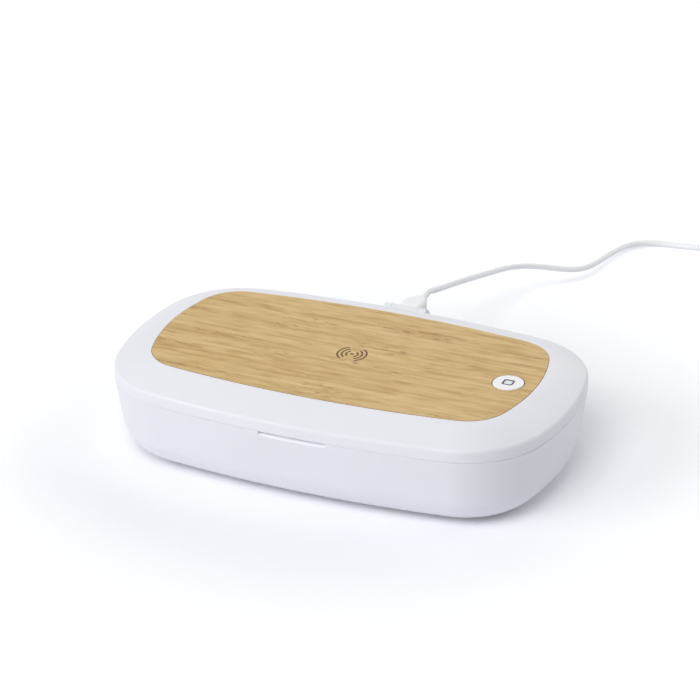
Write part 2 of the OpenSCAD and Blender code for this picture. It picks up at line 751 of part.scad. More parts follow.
module ferrite_sheet() placed() color("dimgray")
    translate([0, 0, deck_low - pad_t - ferrite_t - 0.1])
        cylinder(r = pad_r + ferrite_edge, h = ferrite_t);

// The control board lies under the button, beside the lamp board
control_from = lamp_x + board_w / 2 + 0.5;
control_to = button_x + button_r + flange_w + 2.3;
control_wid = 2 * control_stake_y + 8;
control_x = control_from + 9;
module control_board() placed() color("darkgreen") difference() {
    translate([control_from, -control_wid / 2, lid_board_z])
        cube([control_to - control_from, control_wid, board_t]);
    for (sy = [-1, 1]) translate([control_x, sy * control_stake_y, lid_board_z - 1])
        cylinder(r = stake_r + 0.1, h = board_t + 2);
}

plunger_r = 1.7;
pipe_low = flange_z - 0.3;
module push_switch() placed() color("black") translate([button_x, 0, lid_board_z + board_t])
    difference() {
        translate([-switch_side / 2, -switch_side / 2, 0])
            cube([switch_side, switch_side, switch_h]);
        translate([0, 0, 0.3]) cylinder(r = plunger_r + 0.1, h = switch_h);
    }

module switch_plunger() placed() color("dimgray")
    translate([button_x, 0, lid_board_z + board_t + 0.3 + button_travel + 0.05])
        cylinder(r = plunger_r, h = pipe_low - lid_board_z - board_t - 0.35 - button_travel);

module lid_sensor() placed() color("black")
    translate([control_to - 3.5, -1.5, lid_board_z - 0.9]) cube([3, 3, 0.9]);

// A square with rounded corners, standing on z = 0
module soft_square(side, r, h) {
    linear_extrude(h) {
        square([side, side - 2 * r], center = true);
        square([side - 2 * r, side], center = true);
        for (sx = [-1, 1], sy = [-1, 1])
            translate([sx * (side / 2 - r), sy * (side / 2 - r)]) circle(r = r);
    }
}

cap_top = body_h + button_proud;
module button_cap() placed() color("white") translate([button_x, 0, 0]) difference() {
    rotate_extrude() polygon([[0, flange_z], [button_r + flange_w, flange_z],
        [button_r + flange_w, flange_z + flange_t], [button_r, flange_z + flange_t],
        [button_r, cap_top - 0.4], [button_r - 0.15, cap_top - 0.12],
        [button_r - 0.45, cap_top], [0, cap_top]]);
    translate([0, 0, cap_top - frame_depth])
        soft_square(window_side + 2 * window_frame, 1.3, frame_depth + 1);
    translate([0, 0, flange_z - 1]) soft_square(window_side - 0.8, 0.6, cap_top - flange_z + 1);
}

module button_frame() placed() color("dimgray")
    translate([button_x, 0, cap_top - frame_depth]) difference() {
        soft_square(window_side + 2 * window_frame, 1.3, frame_depth);
        translate([0, 0, -1]) soft_square(window_side, 0.8, frame_depth + 2);
    }

module button_light_pipe() placed() color("honeydew") translate([button_x, 0, 0]) {
    translate([0, 0, cap_top - frame_depth]) soft_square(window_side, 0.8, frame_depth);
    translate([0, 0, pipe_low])
        soft_square(window_side - 0.9, 0.55, cap_top - frame_depth - pipe_low + eps);
}

// A round wire swept through points; its section stands square to the path
function side_of(path, i) =
    let (n = len(path), a = path[max(i - 1, 0)], b = path[min(i + 1, n - 1)], t = b - a,
         flat = norm([t[0], t[1]]))
    flat < 0.001 ? [1, 0, 0] : [t[1], -t[0], 0] / flat;

module sweep(path, r, sides) {
    n = len(path);
    loft([for (i = [0:n - 1])
        let (a = path[max(i - 1, 0)], b = path[min(i + 1, n - 1)],
             t = (b - a) / norm(b - a), u = side_of(path, i), v = cross(t, u))
        [for (k = [0:sides - 1]) let (w = -360 * (k + 0.5) / sides)
            path[i] + r * (cos(w) * u + sin(w) * v)]]);
}

spring_r = button_r + flange_w - 1.2;
SPRING_STEPS = 12;
module button_spring() placed() color("silver") {
    low = lid_board_z + board_t + spring_wire / 2 + 0.05;
    high = flange_z - spring_wire / 2 - 0.05;
    total = spring_turns * SPRING_STEPS;
    translate([button_x, 0, 0]) sweep([for (i = [0:total])
        let (a = 360 * i / SPRING_STEPS)
        [spring_r * cos(a), spring_r * sin(a), low + (high - low) * i / total]],
        spring_wire / 2, 6);
}

// ---- Cord ----

plug_y = hinge_y + hinge_r + fit;
neck_y = plug_y + plug_len;
relief_y = neck_y + neck_len;
cord_y = relief_y + relief_len;

module cord_plug() placed() color("white") {
    slot_body(plug_w, plug_h, 2.2, plug_y, neck_y);
    slot_body(plug_w - 3.5, plug_h - 1.4, 1.9, neck_y - eps, relief_y);
}

// A bar along Y with rounded corners
module slot_body(w, h, r, y0, y1) {
    translate([0, y1, hinge_z]) rotate([90, 0, 0]) linear_extrude(y1 - y0) {
        square([w, h - 2 * r], center = true);
        square([w - 2 * r, h], center = true);
        for (sx = [-1, 1], sy = [-1, 1])
            translate([sx * (w / 2 - r), sy * (h / 2 - r)]) circle(r = r);
    }
}

module cord_plug_shell() placed() color("silver")
    slot_bar(8.2, 2.4, hinge_y + hinge_r - 6.2, plug_y);

module cord_strain_relief() placed() color("white")
    translate([0, relief_y, hinge_z]) rotate([-90, 0, 0]) rotate_extrude()
        polygon([[0, 0], [cord_d / 2 + 0.6, 0], [cord_d / 2 + 0.5, relief_len - 0.5],
            [cord_d / 2 + 0.2, relief_len], [0, relief_len]]);

// The cord's way from the strain relief to its coil, chosen by hand
floor_z = cord_d / 2;
CORD_WAY = [
    [0, cord_y, hinge_z], [0, cord_y + 1.5, hinge_z], [0.5, cord_y + 5, hinge_z - 0.8],
    [1.5, 103, 37.9], [2, 113, 35.2], [3, 125.5, 32], [4.2, 137, 29], [5.7, 148.5, 26],
    [7.5, 160, 23.2], [9.5, 171, 20.6], [12.3, 181, 18], [16.4, 189.3, 15.4], [21.4, 195.6, 13],
    [27, 201, 10.8], [32, 205.7, 9], [35.7, 210.7, 7.6], [38.3, 217.2, 6.4], [40.1, 225.7, 5.4],
    [41.5, 235.6, 4.6], [43, 245.4, 3.9], [45.2, 253.8, 3.3], [48.4, 260.4, 2.8], [52.8, 265, 2.3],
    [58.6, 267.9, 1.9], [64.8, 269.5, 1.6], [71.3, 270.4, floor_z], [77.8, 271.2, floor_z],
    [84.2, 272.3, floor_z], [90.4, 274, floor_z], [96.5, 276.3, floor_z],
    [102.5, 279, floor_z], [108.5, 281.8, floor_z]];

// The spare length lies in a coil of two layers just past the last point
coil_in_r = 11;
coil_pitch = cord_d + 0.5;
LOOP_STEPS = 24;
way_end = CORD_WAY[len(CORD_WAY) - 1];
way_dir = (way_end - CORD_WAY[len(CORD_WAY) - 2]) / norm(way_end - CORD_WAY[len(CORD_WAY) - 2]);
coil_start_a = 90 + atan2(way_dir[1], way_dir[0]);
coil_turns = 6 + coil_start_a / 360;
coil_out_r = coil_in_r + coil_pitch * sqrt(coil_turns * coil_turns / 4 + 0.01);
coil_from = way_end + cord_d * way_dir;
coil_c = [coil_from[0], coil_from[1]] - coil_out_r * [cos(coil_start_a), sin(coil_start_a)];

function coil_point(i, n) =
    let (u = coil_turns * (i / n - 0.5), a = coil_start_a - 360 * coil_turns * i / n,
         r = coil_in_r + coil_pitch * sqrt(u * u + 0.01),
         climb = min(max((u + 0.25) / 0.5, 0), 1))
    [coil_c[0] + r * cos(a), coil_c[1] + r * sin(a), floor_z + coil_pitch * climb];

// The charger plug lies on the ground beside the coil, its body on the tail's end
charger_w = 15.4;
charger_h = 8;
charger_r = 2;
charger_len = 26;
boot_len = 8;
charger_z = charger_h / 2;
tail_steps = [6, 14, 20, 24];
charger_from = tail_steps[len(tail_steps) - 1];
coil_n = round(LOOP_STEPS * coil_turns);
tail_x = coil_c[0] + coil_out_r;
tail_z = floor_z + coil_pitch;
COIL_PATH = concat(
    [way_end],
    [for (i = [0:coil_n]) coil_point(i, coil_n)],
    [[tail_x, coil_c[1] - tail_steps[0], tail_z],
     [tail_x, coil_c[1] - tail_steps[1], charger_z + 0.4],
     [tail_x, coil_c[1] - tail_steps[2], charger_z],
     [tail_x, coil_c[1] - charger_from, charger_z]]);

// Least gap between turns more than half a turn apart
coil_gap = min([for (i = [1:2:coil_n], j = [i + LOOP_STEPS / 2:1:coil_n])
    norm(COIL_PATH[i] - COIL_PATH[j])]) - cord_d;
echo(coil_gap = coil_gap);

function total(v, i = 0) = i == len(v) ? 0 : v[i] + total(v, i + 1);
function way_len(p) = total([for (i = [1:len(p) - 1]) norm(p[i] - p[i - 1])]);
echo(cord_length = way_len(CORD_WAY) + way_len(COIL_PATH));

module cord_cable() placed() color("white") sweep(CORD_WAY, cord_d / 2, 8);
module cord_coil() placed() color("white") sweep(COIL_PATH, cord_d / 2, 6);

// A strap round the coil's turns
tie_t = 0.8;
module cord_tie() placed() color("gray") {
    w = 8;
    r0 = coil_in_r - cord_d / 2 - tie_t - 0.3;
    r1 = coil_out_r + cord_d / 2 + tie_t + 0.3;
    h = coil_pitch + cord_d + tie_t + 0.3;
    translate([coil_c[0], coil_c[1], 0]) rotate([0, 0, -150]) difference() {
        translate([r0, -w / 2, 0]) cube([r1 - r0, w, h]);
        translate([r0 + tie_t, -w, -1]) cube([r1 - r0 - 2 * tie_t, 2 * w, h + 1 - tie_t]);
    }
}

charger_y = coil_c[1] - charger_from;
module charger_plug() placed() color("white") translate([tail_x, charger_y, charger_z])
    rotate([90, 0, 0]) {
        cylinder(r1 = cord_d / 2 + 0.4, r2 = cord_d / 2 + 1.4, h = boot_len);
        translate([0, 0, boot_len - eps]) linear_extrude(charger_len) {
            square([charger_w, charger_h - 2 * charger_r], center = true);
            square([charger_w - 2 * charger_r, charger_h], center = true);
            for (sx = [-1, 1], sy = [-1, 1])
                translate([sx * (charger_w / 2 - charger_r), sy * (charger_h / 2 - charger_r)])
                    circle(r = charger_r);
        }
    }

module charger_plug_shell() placed() color("silver")
    translate([tail_x, charger_y - boot_len - charger_len, charger_z]) rotate([90, 0, 0])
        difference() {
            linear_extrude(12) square([12, 4.5], center = true);
            translate([0, 0, 0.8]) linear_extrude(12) translate([0, -1.1]) square([11.2, 1.6],
                center = true);
            translate([0, 0, 0.8]) linear_extrude(12) translate([0, 1.2]) square([11.2, 1.2],
                center = true);
        }

// ---- Assembly ----

base_shell();
base_feet();
base_screws();
inner_tray();
floor_reflector();
phone_rests();
base_lamp_boards();
base_lamp_chips();
base_lamp_windows();
power_board();
usb_socket();
socket_lead();
base_magnets();
sensor_magnet();
hinge_pins();
lid_shell();
bamboo_panel();
lid_liner();
lid_reflector();
lid_seal();
lid_screws();
lid_lamp_boards();
lid_lamp_chips();
lid_lamp_windows();
charging_coil();
ferrite_sheet();
control_board();
push_switch();
lid_sensor();
lid_magnets();
button_cap();
button_frame();
button_light_pipe();
switch_plunger();
button_spring();
cord_plug();
cord_plug_shell();
cord_strain_relief();
cord_cable();
cord_coil();
cord_tie();
charger_plug();
charger_plug_shell();
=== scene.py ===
# %% [markdown]
# # A white box with a wooden lid panel, made in Blender
#
# This script dresses a finished CAD model. The CAD model holds every piece at its real
# size; here each visible piece gets a smooth mesh and a real finish. Everything is in
# metres, in one frame: +X runs along the box towards the button, +Y towards the hinge and
# +Z up. Each cell makes one thing and prints what it made.

# %% Load the fixed frame
import math

import bmesh
import bpy
import numpy as np
from mathutils import Matrix, Vector


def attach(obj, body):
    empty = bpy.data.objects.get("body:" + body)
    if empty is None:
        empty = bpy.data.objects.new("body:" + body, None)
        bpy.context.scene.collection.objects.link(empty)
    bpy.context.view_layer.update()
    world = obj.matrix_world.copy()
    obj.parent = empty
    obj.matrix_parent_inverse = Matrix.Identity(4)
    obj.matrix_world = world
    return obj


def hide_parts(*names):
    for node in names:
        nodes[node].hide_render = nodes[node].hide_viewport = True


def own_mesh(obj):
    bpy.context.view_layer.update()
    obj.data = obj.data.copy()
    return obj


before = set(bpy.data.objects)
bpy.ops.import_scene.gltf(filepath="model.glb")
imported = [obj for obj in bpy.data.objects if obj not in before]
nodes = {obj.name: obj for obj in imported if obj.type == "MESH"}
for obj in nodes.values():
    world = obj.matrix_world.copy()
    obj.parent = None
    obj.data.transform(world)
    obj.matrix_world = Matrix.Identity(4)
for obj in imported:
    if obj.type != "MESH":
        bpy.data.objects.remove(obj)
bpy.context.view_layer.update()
MM = 0.001

# %% [markdown]
# ## The camera
#
# A product picture like this is taken from far away with a long lens, so that the box
# keeps its proportions. The camera looks down by about 27 degrees from a little right of
# the front. A Blender camera looks along its own -Z, so its matrix is built from three
# directions: right, up and back.

# %% Camera
AZIMUTH, ELEVATION, ROLL = 24.66, 26.67, -1.21
DISTANCE, FARTHEST = 1.6739, 20
AIM = Vector((-0.02203, 0.04644, 0.025))
LENS_MM, SENSOR_MM = 176.3, 36


def facing(azimuth, elevation, roll):
    """A rotation whose columns are a viewer's right, up and back; angles in degrees."""
    a, e, r = (math.radians(v) for v in (azimuth, elevation, roll))
    back = Vector((math.sin(a) * math.cos(e), -math.cos(a) * math.cos(e), math.sin(e)))
    right = Vector((math.cos(a), math.sin(a), 0))
    up = back.cross(right)
    rolled_right = right * math.cos(r) + up * math.sin(r)
    rolled_up = up * math.cos(r) - right * math.sin(r)
    return Matrix((rolled_right, rolled_up, back)).transposed()


SCENE = bpy.context.scene
SCENE.view_settings.view_transform = "Standard"


def in_scene(name, data):
    """A new object that shows data."""
    obj = bpy.data.objects.new(name, data)
    SCENE.collection.objects.link(obj)
    return obj


camera_data = bpy.data.cameras.new("camera")
camera = in_scene("camera", camera_data)
turn = facing(AZIMUTH, ELEVATION, ROLL)
camera.matrix_world = Matrix.Translation(AIM + turn.col[2] * DISTANCE) @ turn.to_4x4()
camera_data.lens = LENS_MM
camera_data.sensor_width = SENSOR_MM
camera_data.clip_end = FARTHEST
SCENE.camera = camera
print("camera stands at", [round(v, 3) for v in camera.matrix_world.translation])

# %% [markdown]
# ## The cord's way
#
# A charging cord is a fixed length of something limp. It leaves the plug straight, sags to
# the ground within a few hand widths and then lies in one loose bend. The rest of its
# length is wound up as for storage, in six turns that lie beside and on each other. It
# could be simulated as a chain, but a route of chosen points is quicker and always the same.
# The route is the CAD model's own; a Catmull-Rom curve rounds it between its points.

# %% Route of the cord, in metres
BOX_Y = -2.25 * MM
CORD_D, CORD_LENGTH = 3 * MM, 0.932
COIL_IN_R, COIL_PITCH, COIL_TURNS = 11 * MM, 3.5 * MM, 6
COIL_STEPS, INNER_BEND, CLIMB_TURNS = 24, 0.01, 0.5
CHARGER_Z, TAIL_LEN = 4 * MM, 24 * MM
WAY = MM * np.array((
    (0, 92.8, 40), (0, 94.3, 40), (0.5, 97.8, 39.2), (1.5, 103, 37.9), (2, 113, 35.2),
    (3, 125.5, 32), (4.2, 137, 29), (5.7, 148.5, 26), (7.5, 160, 23.2), (9.5, 171, 20.6),
    (12.3, 181, 18),
    (16.4, 189.3, 15.4), (21.4, 195.6, 13), (27, 201, 10.8), (32, 205.7, 9),
    (35.7, 210.7, 7.6), (38.3, 217.2, 6.4), (40.1, 225.7, 5.4), (41.5, 235.6, 4.6),
    (43, 245.4, 3.9), (45.2, 253.8, 3.3), (48.4, 260.4, 2.8), (52.8, 265, 2.3),
    (58.6, 267.9, 1.9), (64.8, 269.5, 1.6), (71.3, 270.4, 1.5), (77.8, 271.2, 1.5),
    (84.2, 272.3, 1.5), (90.4, 274, 1.5), (96.5, 276.3, 1.5), (102.5, 279, 1.5),
    (108.5, 281.8, 1.5)))


def coil_of_cord(way):
    """The spare cord: in along the lower layer, up by one cord, and out along the upper."""
    heading = (way[-1] - way[-2]) / np.linalg.norm(way[-1] - way[-2])
    start = math.pi / 2 + math.atan2(heading[1], heading[0])
    outwards = np.array((math.cos(start), math.sin(start)))
    turns = COIL_TURNS + start / (2 * math.pi)
    out_r = COIL_IN_R + COIL_PITCH * math.sqrt(turns**2 / 4 + INNER_BEND)
    centre = (way[-1] + CORD_D * heading)[:2] - out_r * outwards
    t = np.linspace(0, 1, round(COIL_STEPS * turns) + 1)
    u = turns * (t - 0.5)
    angle = start - 2 * math.pi * turns * t
    r = COIL_IN_R + COIL_PITCH * np.sqrt(u**2 + INNER_BEND)
    climb = COIL_PITCH * np.clip((u + CLIMB_TURNS / 2) / CLIMB_TURNS, 0, 1)
    coil = np.column_stack((centre[0] + r * np.cos(angle), centre[1] + r * np.sin(angle),
                            CORD_D / 2 + climb))
    x, y, z = *(centre + (out_r, 0)), CORD_D / 2 + COIL_PITCH
    tail = np.array(((x, y - 6 * MM, z), (x, y - 14 * MM, CHARGER_Z + 0.4 * MM),
                     (x, y - 20 * MM, CHARGER_Z), (x, y - TAIL_LEN, CHARGER_Z)))
    return np.vstack((coil, tail)), centre, out_r


def rounded(points, steps):
    """A Catmull-Rom curve through points, with so many steps between two of them."""
    ends = np.vstack((2 * points[0] - points[1], points, 2 * points[-1] - points[-2]))
    made = []
    for a, b, c, d in zip(ends, ends[1:], ends[2:], ends[3:]):
        for t in np.arange(steps) / steps:
            made.append((2 * b + (c - a) * t + (2 * a - 5 * b + 4 * c - d) * t**2
                         + (3 * b - a - 3 * c + d) * t**3) / 2)
    return np.array(made + [points[-1]])


coil_points, coil_centre, coil_out_r = coil_of_cord(WAY)
cord_line = np.vstack((rounded(WAY, 3), coil_points))
cord_line[:, 2] = np.maximum(cord_line[:, 2], CORD_D / 2)
cord_line[:, 1] += BOX_Y
cord_pieces = np.linalg.norm(np.diff(cord_line, axis=0), axis=1)
print("cord is", round(float(cord_pieces.sum()), 4), "m long")

# %% [markdown]
# ## Sizes
#
# The outline of the box isn't a plain rounded rectangle: each side bows outwards a
# little, so the light runs along it. These are the CAD model's own sizes, and every ring of
# the shells is worked out from them.

# %% Sizes of the box, in metres, with y measured from the middle of the box
HALF_LEN, HALF_WID, BODY_H = 112 * MM, 66 * MM, 50 * MM
SEAM_H, SEAM_GAP = 37.5 * MM, 0.07 * MM
CORNER_R, BOW_LONG, BOW_SHORT = 42 * MM, 4.7 * MM, 3.3 * MM
WALL, DRAFT, BOTTOM_R = 2.4 * MM, math.radians(8), 17 * MM
EDGE = 0.35 * MM
BASE_TOP, LID_LOW = SEAM_H - SEAM_GAP / 2, SEAM_H + SEAM_GAP / 2
LINER_LOW = 37.925 * MM
LID_BOSS_Z, SCREW_R = LINER_LOW + 2.6 * MM, 1.5 * MM
FOOT_H, FOOT_X, FOOT_Y, FOOT_R = 1 * MM, 74 * MM, 28 * MM, 5.8 * MM
RIM_W, PANEL_T, PANEL_FIT = 18 * MM, 1.6 * MM, 0.08 * MM
PANEL_R, PANEL_BOW_LONG, PANEL_BOW_SHORT = 21 * MM, 5.1 * MM, 5 * MM
BUTTON_X, BUTTON_R, BUTTON_GAP = 80.5 * MM, 7.4 * MM, 0.4 * MM
HINGE_Y, HINGE_Z, HINGE_R = HALF_WID + 0.5 * MM, SEAM_H + 2.5 * MM, 4.6 * MM
BARREL_W, KNUCKLE_W, KNUCKLE_GAP, KNUCKLE_SOFT = 22 * MM, 14 * MM, 0.12 * MM, 0.35 * MM
LAMP_X, LAMP_Y, LENS_R = 57 * MM, 22 * MM, 4 * MM
MAGNET_X, MAGNET_ROOM_R = 50 * MM, 3.6 * MM
print("hinge axis at y", round(HINGE_Y + BOX_Y, 5), "and z", round(HINGE_Z, 5))

# %% [markdown]
# ## Rings and lofts
#
# A moulded shell is a stack of outlines, each drawn in or out and set at its own height.
# A loft joins them with quads. It could also be a subdivided box, but a loft keeps every
# radius where the mould has it, and the number of points round is free.

# %% Outline: one quarter, mirrored four times
SHORT_STEPS, CORNER_STEPS, LONG_STEPS = 10, 22, 16


def arc(centre, radius, start, end, steps):
    """Points along an arc from start to end, in radians, without the last one."""
    angles = start + (end - start) * np.arange(steps) / steps
    return centre + radius * np.column_stack((np.cos(angles), np.sin(angles)))


def outline(half_len, half_wid, r, bow_long, bow_short):
    """A closed outline, counter-clockwise from +X, whose four sides bow outwards."""
    a, b = half_len - r, half_wid - r
    long_r = (a * a + bow_long * bow_long) / (2 * bow_long)
    short_r = (b * b + bow_short * bow_short) / (2 * bow_short)
    long_c, short_c = np.array((0, b - long_r)), np.array((a - short_r, 0))
    way = short_c - long_c
    d = np.linalg.norm(way)
    t = (long_r**2 - short_r**2 + d * d) / (2 * d)
    h = math.sqrt(long_r**2 - t * t)
    c = long_c + way * t / d + np.array((way[1], -way[0])) * h / d
    a1 = math.atan2(c[1], c[0] - short_c[0])
    a2 = math.atan2(c[1] - long_c[1], c[0])
    quarter = np.vstack((
        arc(short_c, short_r + r, 0, a1, SHORT_STEPS),
        arc(c, r, a1, a2, CORNER_STEPS),
        arc(long_c, long_r + r, a2, math.pi / 2, LONG_STEPS)))
    upper = np.vstack((quarter, ((0, half_wid),), quarter[:0:-1] * (-1, 1)))
    return np.vstack((upper, -upper))


def at_height(flat, z):
    """The flat points as points in space at height z."""
    return np.column_stack((flat, np.full(len(flat), z)))


def box_ring(inset, z):
    """The box's outline drawn in by inset, at height z."""
    return at_height(outline(HALF_LEN - inset, HALF_WID - inset, CORNER_R - inset,
                             BOW_LONG, BOW_SHORT), z)


def panel_ring(inset, z):
    """The wooden panel's outline drawn in by inset, at height z."""
    return at_height(outline(HALF_LEN - RIM_W - inset, HALF_WID - RIM_W - inset,
                             PANEL_R - inset, PANEL_BOW_LONG, PANEL_BOW_SHORT), z)


def side_y(x):
    """How far out the long side stands at a distance x from the middle."""
    a = HALF_LEN - CORNER_R
    long_r = (a * a + BOW_LONG**2) / (2 * BOW_LONG) + CORNER_R
    return HALF_WID - long_r + math.sqrt(long_r**2 - x * x)


print(len(box_ring(0, 0)), "points round the box")

# %% Solids from rings, from profiles and from flat outlines
def new_object(name, points, faces):
    """An object made of points, measured from the middle of the box, and faces."""
    mesh = bpy.data.meshes.new(name)
    mesh.from_pydata([tuple(p) for p in np.asarray(points) + (0, BOX_Y, 0)], [], faces)
    work = bmesh.new()
    work.from_mesh(mesh)
    bmesh.ops.recalc_face_normals(work, faces=work.faces)
    work.to_mesh(mesh)
    work.free()
    return in_scene(name, mesh)


def band(n, low, high):
    """The quads between two rings of n points, whose first points are low and high."""
    return [(low + i, low + (i + 1) % n, high + (i + 1) % n, high + i) for i in range(n)]


def loft(name, rings, closed=False):
    """A solid through rings of equal length, capped at both ends unless it is closed."""
    n, m = len(rings[0]), len(rings)
    faces = []
    for j in range(m if closed else m - 1):
        faces += band(n, j * n, (j + 1) % m * n)
    if not closed:
        faces += [tuple(range(n))[::-1], tuple(range((m - 1) * n, m * n))]
    return new_object(name, np.vstack(rings), faces)


AXES = {"x": (2, 0, 1), "y": (0, 2, 1), "z": (0, 1, 2)}
BEVEL_FROM = math.radians(50)


def turned(name, profile, centre=(0, 0), axis="z", steps=64):
    """A solid turned on an axis from (radius, place along the axis) points."""
    angles = 2 * math.pi * np.arange(steps) / steps
    circle = np.column_stack((np.cos(angles), np.sin(angles)))
    rings = [at_height(np.array(centre) + r * circle, w)[:, AXES[axis]] for r, w in profile]
    return loft(name, rings)


def post(name, radius, low, high, centre=(0, 0), axis="z", steps=64):
    """A round bar between two places along an axis."""
    return turned(name, ((radius, low), (radius, high)), centre, axis, steps)


def bevel(obj, width, steps):
    """Rounds the edges that are sharper than BEVEL_FROM with a modifier."""
    edge = obj.modifiers.new("edge", "BEVEL")
    edge.width, edge.segments, edge.limit_method = width, steps, "ANGLE"
    edge.angle_limit = BEVEL_FROM


def prism(name, flat, axis, start, end, round_edge=0, steps=3):
    """A flat outline pushed along an axis; its points hold the other two axes in order."""
    rings = [at_height(np.array(flat, float), w)[:, AXES[axis]] for w in (start, end)]
    obj = loft(name, rings)
    if round_edge:
        bevel(obj, round_edge, steps)
        keep_modifiers(obj)
    return obj


def block(name, low, high):
    """A box between two corners, in metres."""
    (x0, y0, z0), (x1, y1, z1) = low, high
    return prism(name, ((x0, y0), (x1, y0), (x1, y1), (x0, y1)), "z", z0, z1)


def rounded_rectangle(width, height, r, centre):
    """The outline of a rectangle with round corners."""
    corners = [arc(np.array((sx * (width / 2 - r), sy * (height / 2 - r))) + centre, r,
                   a, a + math.pi / 2, 7)
               for sx, sy, a in ((1, 1, 0), (-1, 1, math.pi / 2), (-1, -1, math.pi),
                                 (1, -1, 1.5 * math.pi))]
    return np.vstack(corners)


def keep_modifiers(obj):
    """Makes what the modifiers show the object's own mesh."""
    graph = bpy.context.evaluated_depsgraph_get()
    mesh = bpy.data.meshes.new_from_object(obj.evaluated_get(graph))
    obj.modifiers.clear()
    obj.data = mesh


def combine(obj, join=(), cut=()):
    """Joins solids to obj, then cuts others from it, and deletes them all."""
    for tool in (*join, *cut):
        step = obj.modifiers.new(tool.name, "BOOLEAN")
        step.operation = "UNION" if tool in join else "DIFFERENCE"
        step.solver = "EXACT"
        step.object = tool
    keep_modifiers(obj)
    for tool in (*join, *cut):
        bpy.data.objects.remove(tool)
    return obj


def four(x, y):
    """The four places at plus and minus x and y."""
    return [(sx * x, sy * y) for sx in (-1, 1) for sy in (-1, 1)]


QUARTER = np.radians((0, 30, 60, 90))


def round_edge_at(r, angles=QUARTER):
    """How far in and how far down a rounded edge of radius r lies at each angle."""
    return [(r * (1 - math.cos(a)), r * (1 - math.sin(a))) for a in angles]


def button_hole():
    """What makes the hole for the button in the lid and its panel."""
    return post("button_hole", BUTTON_R + BUTTON_GAP, 45 * MM, 52 * MM, (BUTTON_X, 0), steps=96)


print("solids can be lofted, turned, pushed and combined")

# %% [markdown]
# ## Finishes
#
# Every finish is made from nodes, so it needs no picture and no unwrapping. Object
# coordinates are metres here, which makes the scale of a grain easy to choose: a noise of
# scale 1000 has features about a millimetre apart. A moulded surface is never quite
# even, so each finish gets a fine bump and a slight change in roughness.

# %% Material helpers
def shade(*rgb):
    """A colour as it is seen on a screen, 0 to 255, as linear light for a shader."""
    c = np.array(rgb) / 255
    return (*np.where(c <= 0.04045, c / 12.92, ((c + 0.055) / 1.055) ** 2.4), 1)


SURFACE = "Principled BSDF"


def finish(name, colour, roughness, **sockets):
    """A new material with an even colour, and its tree; sockets have _ for a space."""
    material = bpy.data.materials.new(name)
    material.use_nodes = True
    values = {"Base_Color": shade(*colour), "Roughness": roughness, "IOR": 1.5, **sockets}
    for socket, value in values.items():
        inputs = material.node_tree.nodes[SURFACE].inputs
        inputs[socket.replace("_", " ")].default_value = value
    return material, material.node_tree


def add(tree, kind, inputs=(), **settings):
    """A new node; inputs maps its sockets to values or to other nodes' outputs."""
    made = tree.nodes.new("ShaderNode" + kind)
    for key, value in settings.items():
        setattr(made, key, value)
    for key, value in dict(inputs).items():
        if isinstance(value, bpy.types.NodeSocket):
            tree.links.new(value, made.inputs[key])
        else:
            made.inputs[key].default_value = value
    return made


def maths(tree, operation, *values):
    """The output of a Math node."""
    return add(tree, "Math", enumerate(values), operation=operation).outputs[0]


def link(tree, output, socket="Base Color"):
    """Lets a node's output drive a socket of the surface shader."""
    tree.links.new(output, tree.nodes[SURFACE].inputs[socket])


def own_place(tree):
    """Where a point lies in the piece's own metres."""
    return add(tree, "TexCoord").outputs["Object"]


def grain(tree, scale, detail=2.0, stretch=(1, 1, 1)):
    """Noise in the piece's own metres, from 0 to 1, stretched along some axes."""
    sized = add(tree, "Mapping", {"Vector": own_place(tree), "Scale": stretch})
    noise = add(tree, "TexNoise", {"Vector": sized.outputs[0], "Scale": scale, "Detail": detail})
    return noise.outputs["Fac"]


def spread(tree, value, low, high, start=0.3, end=0.7):
    """Maps value, from start to end, to low to high."""
    return add(tree, "MapRange", {"Value": value, "From Min": start, "From Max": end,
                                  "To Min": low, "To Max": high}).outputs[0]


def bump(tree, height, depth):
    """Raises and sinks the surface by depth metres where height goes from 0 to 1."""
    node = add(tree, "Bump", {"Height": height, "Distance": depth, "Strength": 1.0})
    link(tree, node.outputs[0], "Normal")


PATCHES, DIM = 0.06, 0.985


def moulded(name, colour, roughness, grain_size=0.35 * MM, depth=0.006 * MM, **sockets):
    """A moulded or painted surface: fine grain, and patches a little shinier than others."""
    material, tree = finish(name, colour, roughness, **sockets)
    bump(tree, grain(tree, 1 / grain_size), depth)
    patches = spread(tree, grain(tree, 60), roughness - PATCHES, roughness + PATCHES)
    link(tree, patches, "Roughness")
    red, green, blue, _ = shade(*colour)
    dimmer = (red * DIM, green * DIM, blue * DIM, 1)
    tone = add(tree, "MixRGB", {"Fac": spread(tree, grain(tree, 25), 0, 1),
                                "Color1": dimmer, "Color2": shade(*colour)})
    link(tree, tone.outputs[0])
    return material


def metal(name, colour, roughness, stretch=(1, 1, 1), depth=0.002 * MM):
    """Bare or plated metal with fine lines, long where stretch is small."""
    material, tree = finish(name, colour, roughness, Metallic=1.0)
    lines = grain(tree, 3000, 3, stretch)
    bump(tree, lines, depth)
    link(tree, spread(tree, lines, roughness * 0.7, roughness * 1.4), "Roughness")
    return material


print("material helpers ready")

# %% White plastics
shell_white = moulded("satin_white", (239, 240, 246), 0.36)
liner_white = moulded("matt_white", (236, 238, 242), 0.5, 0.5 * MM, 0.01 * MM)
button_white = moulded("button_white", (251, 251, 253), 0.3)
cord_white = moulded("cord_white", (252, 253, 255), 0.45, 0.8 * MM, 0.01 * MM)
print("four white plastics")
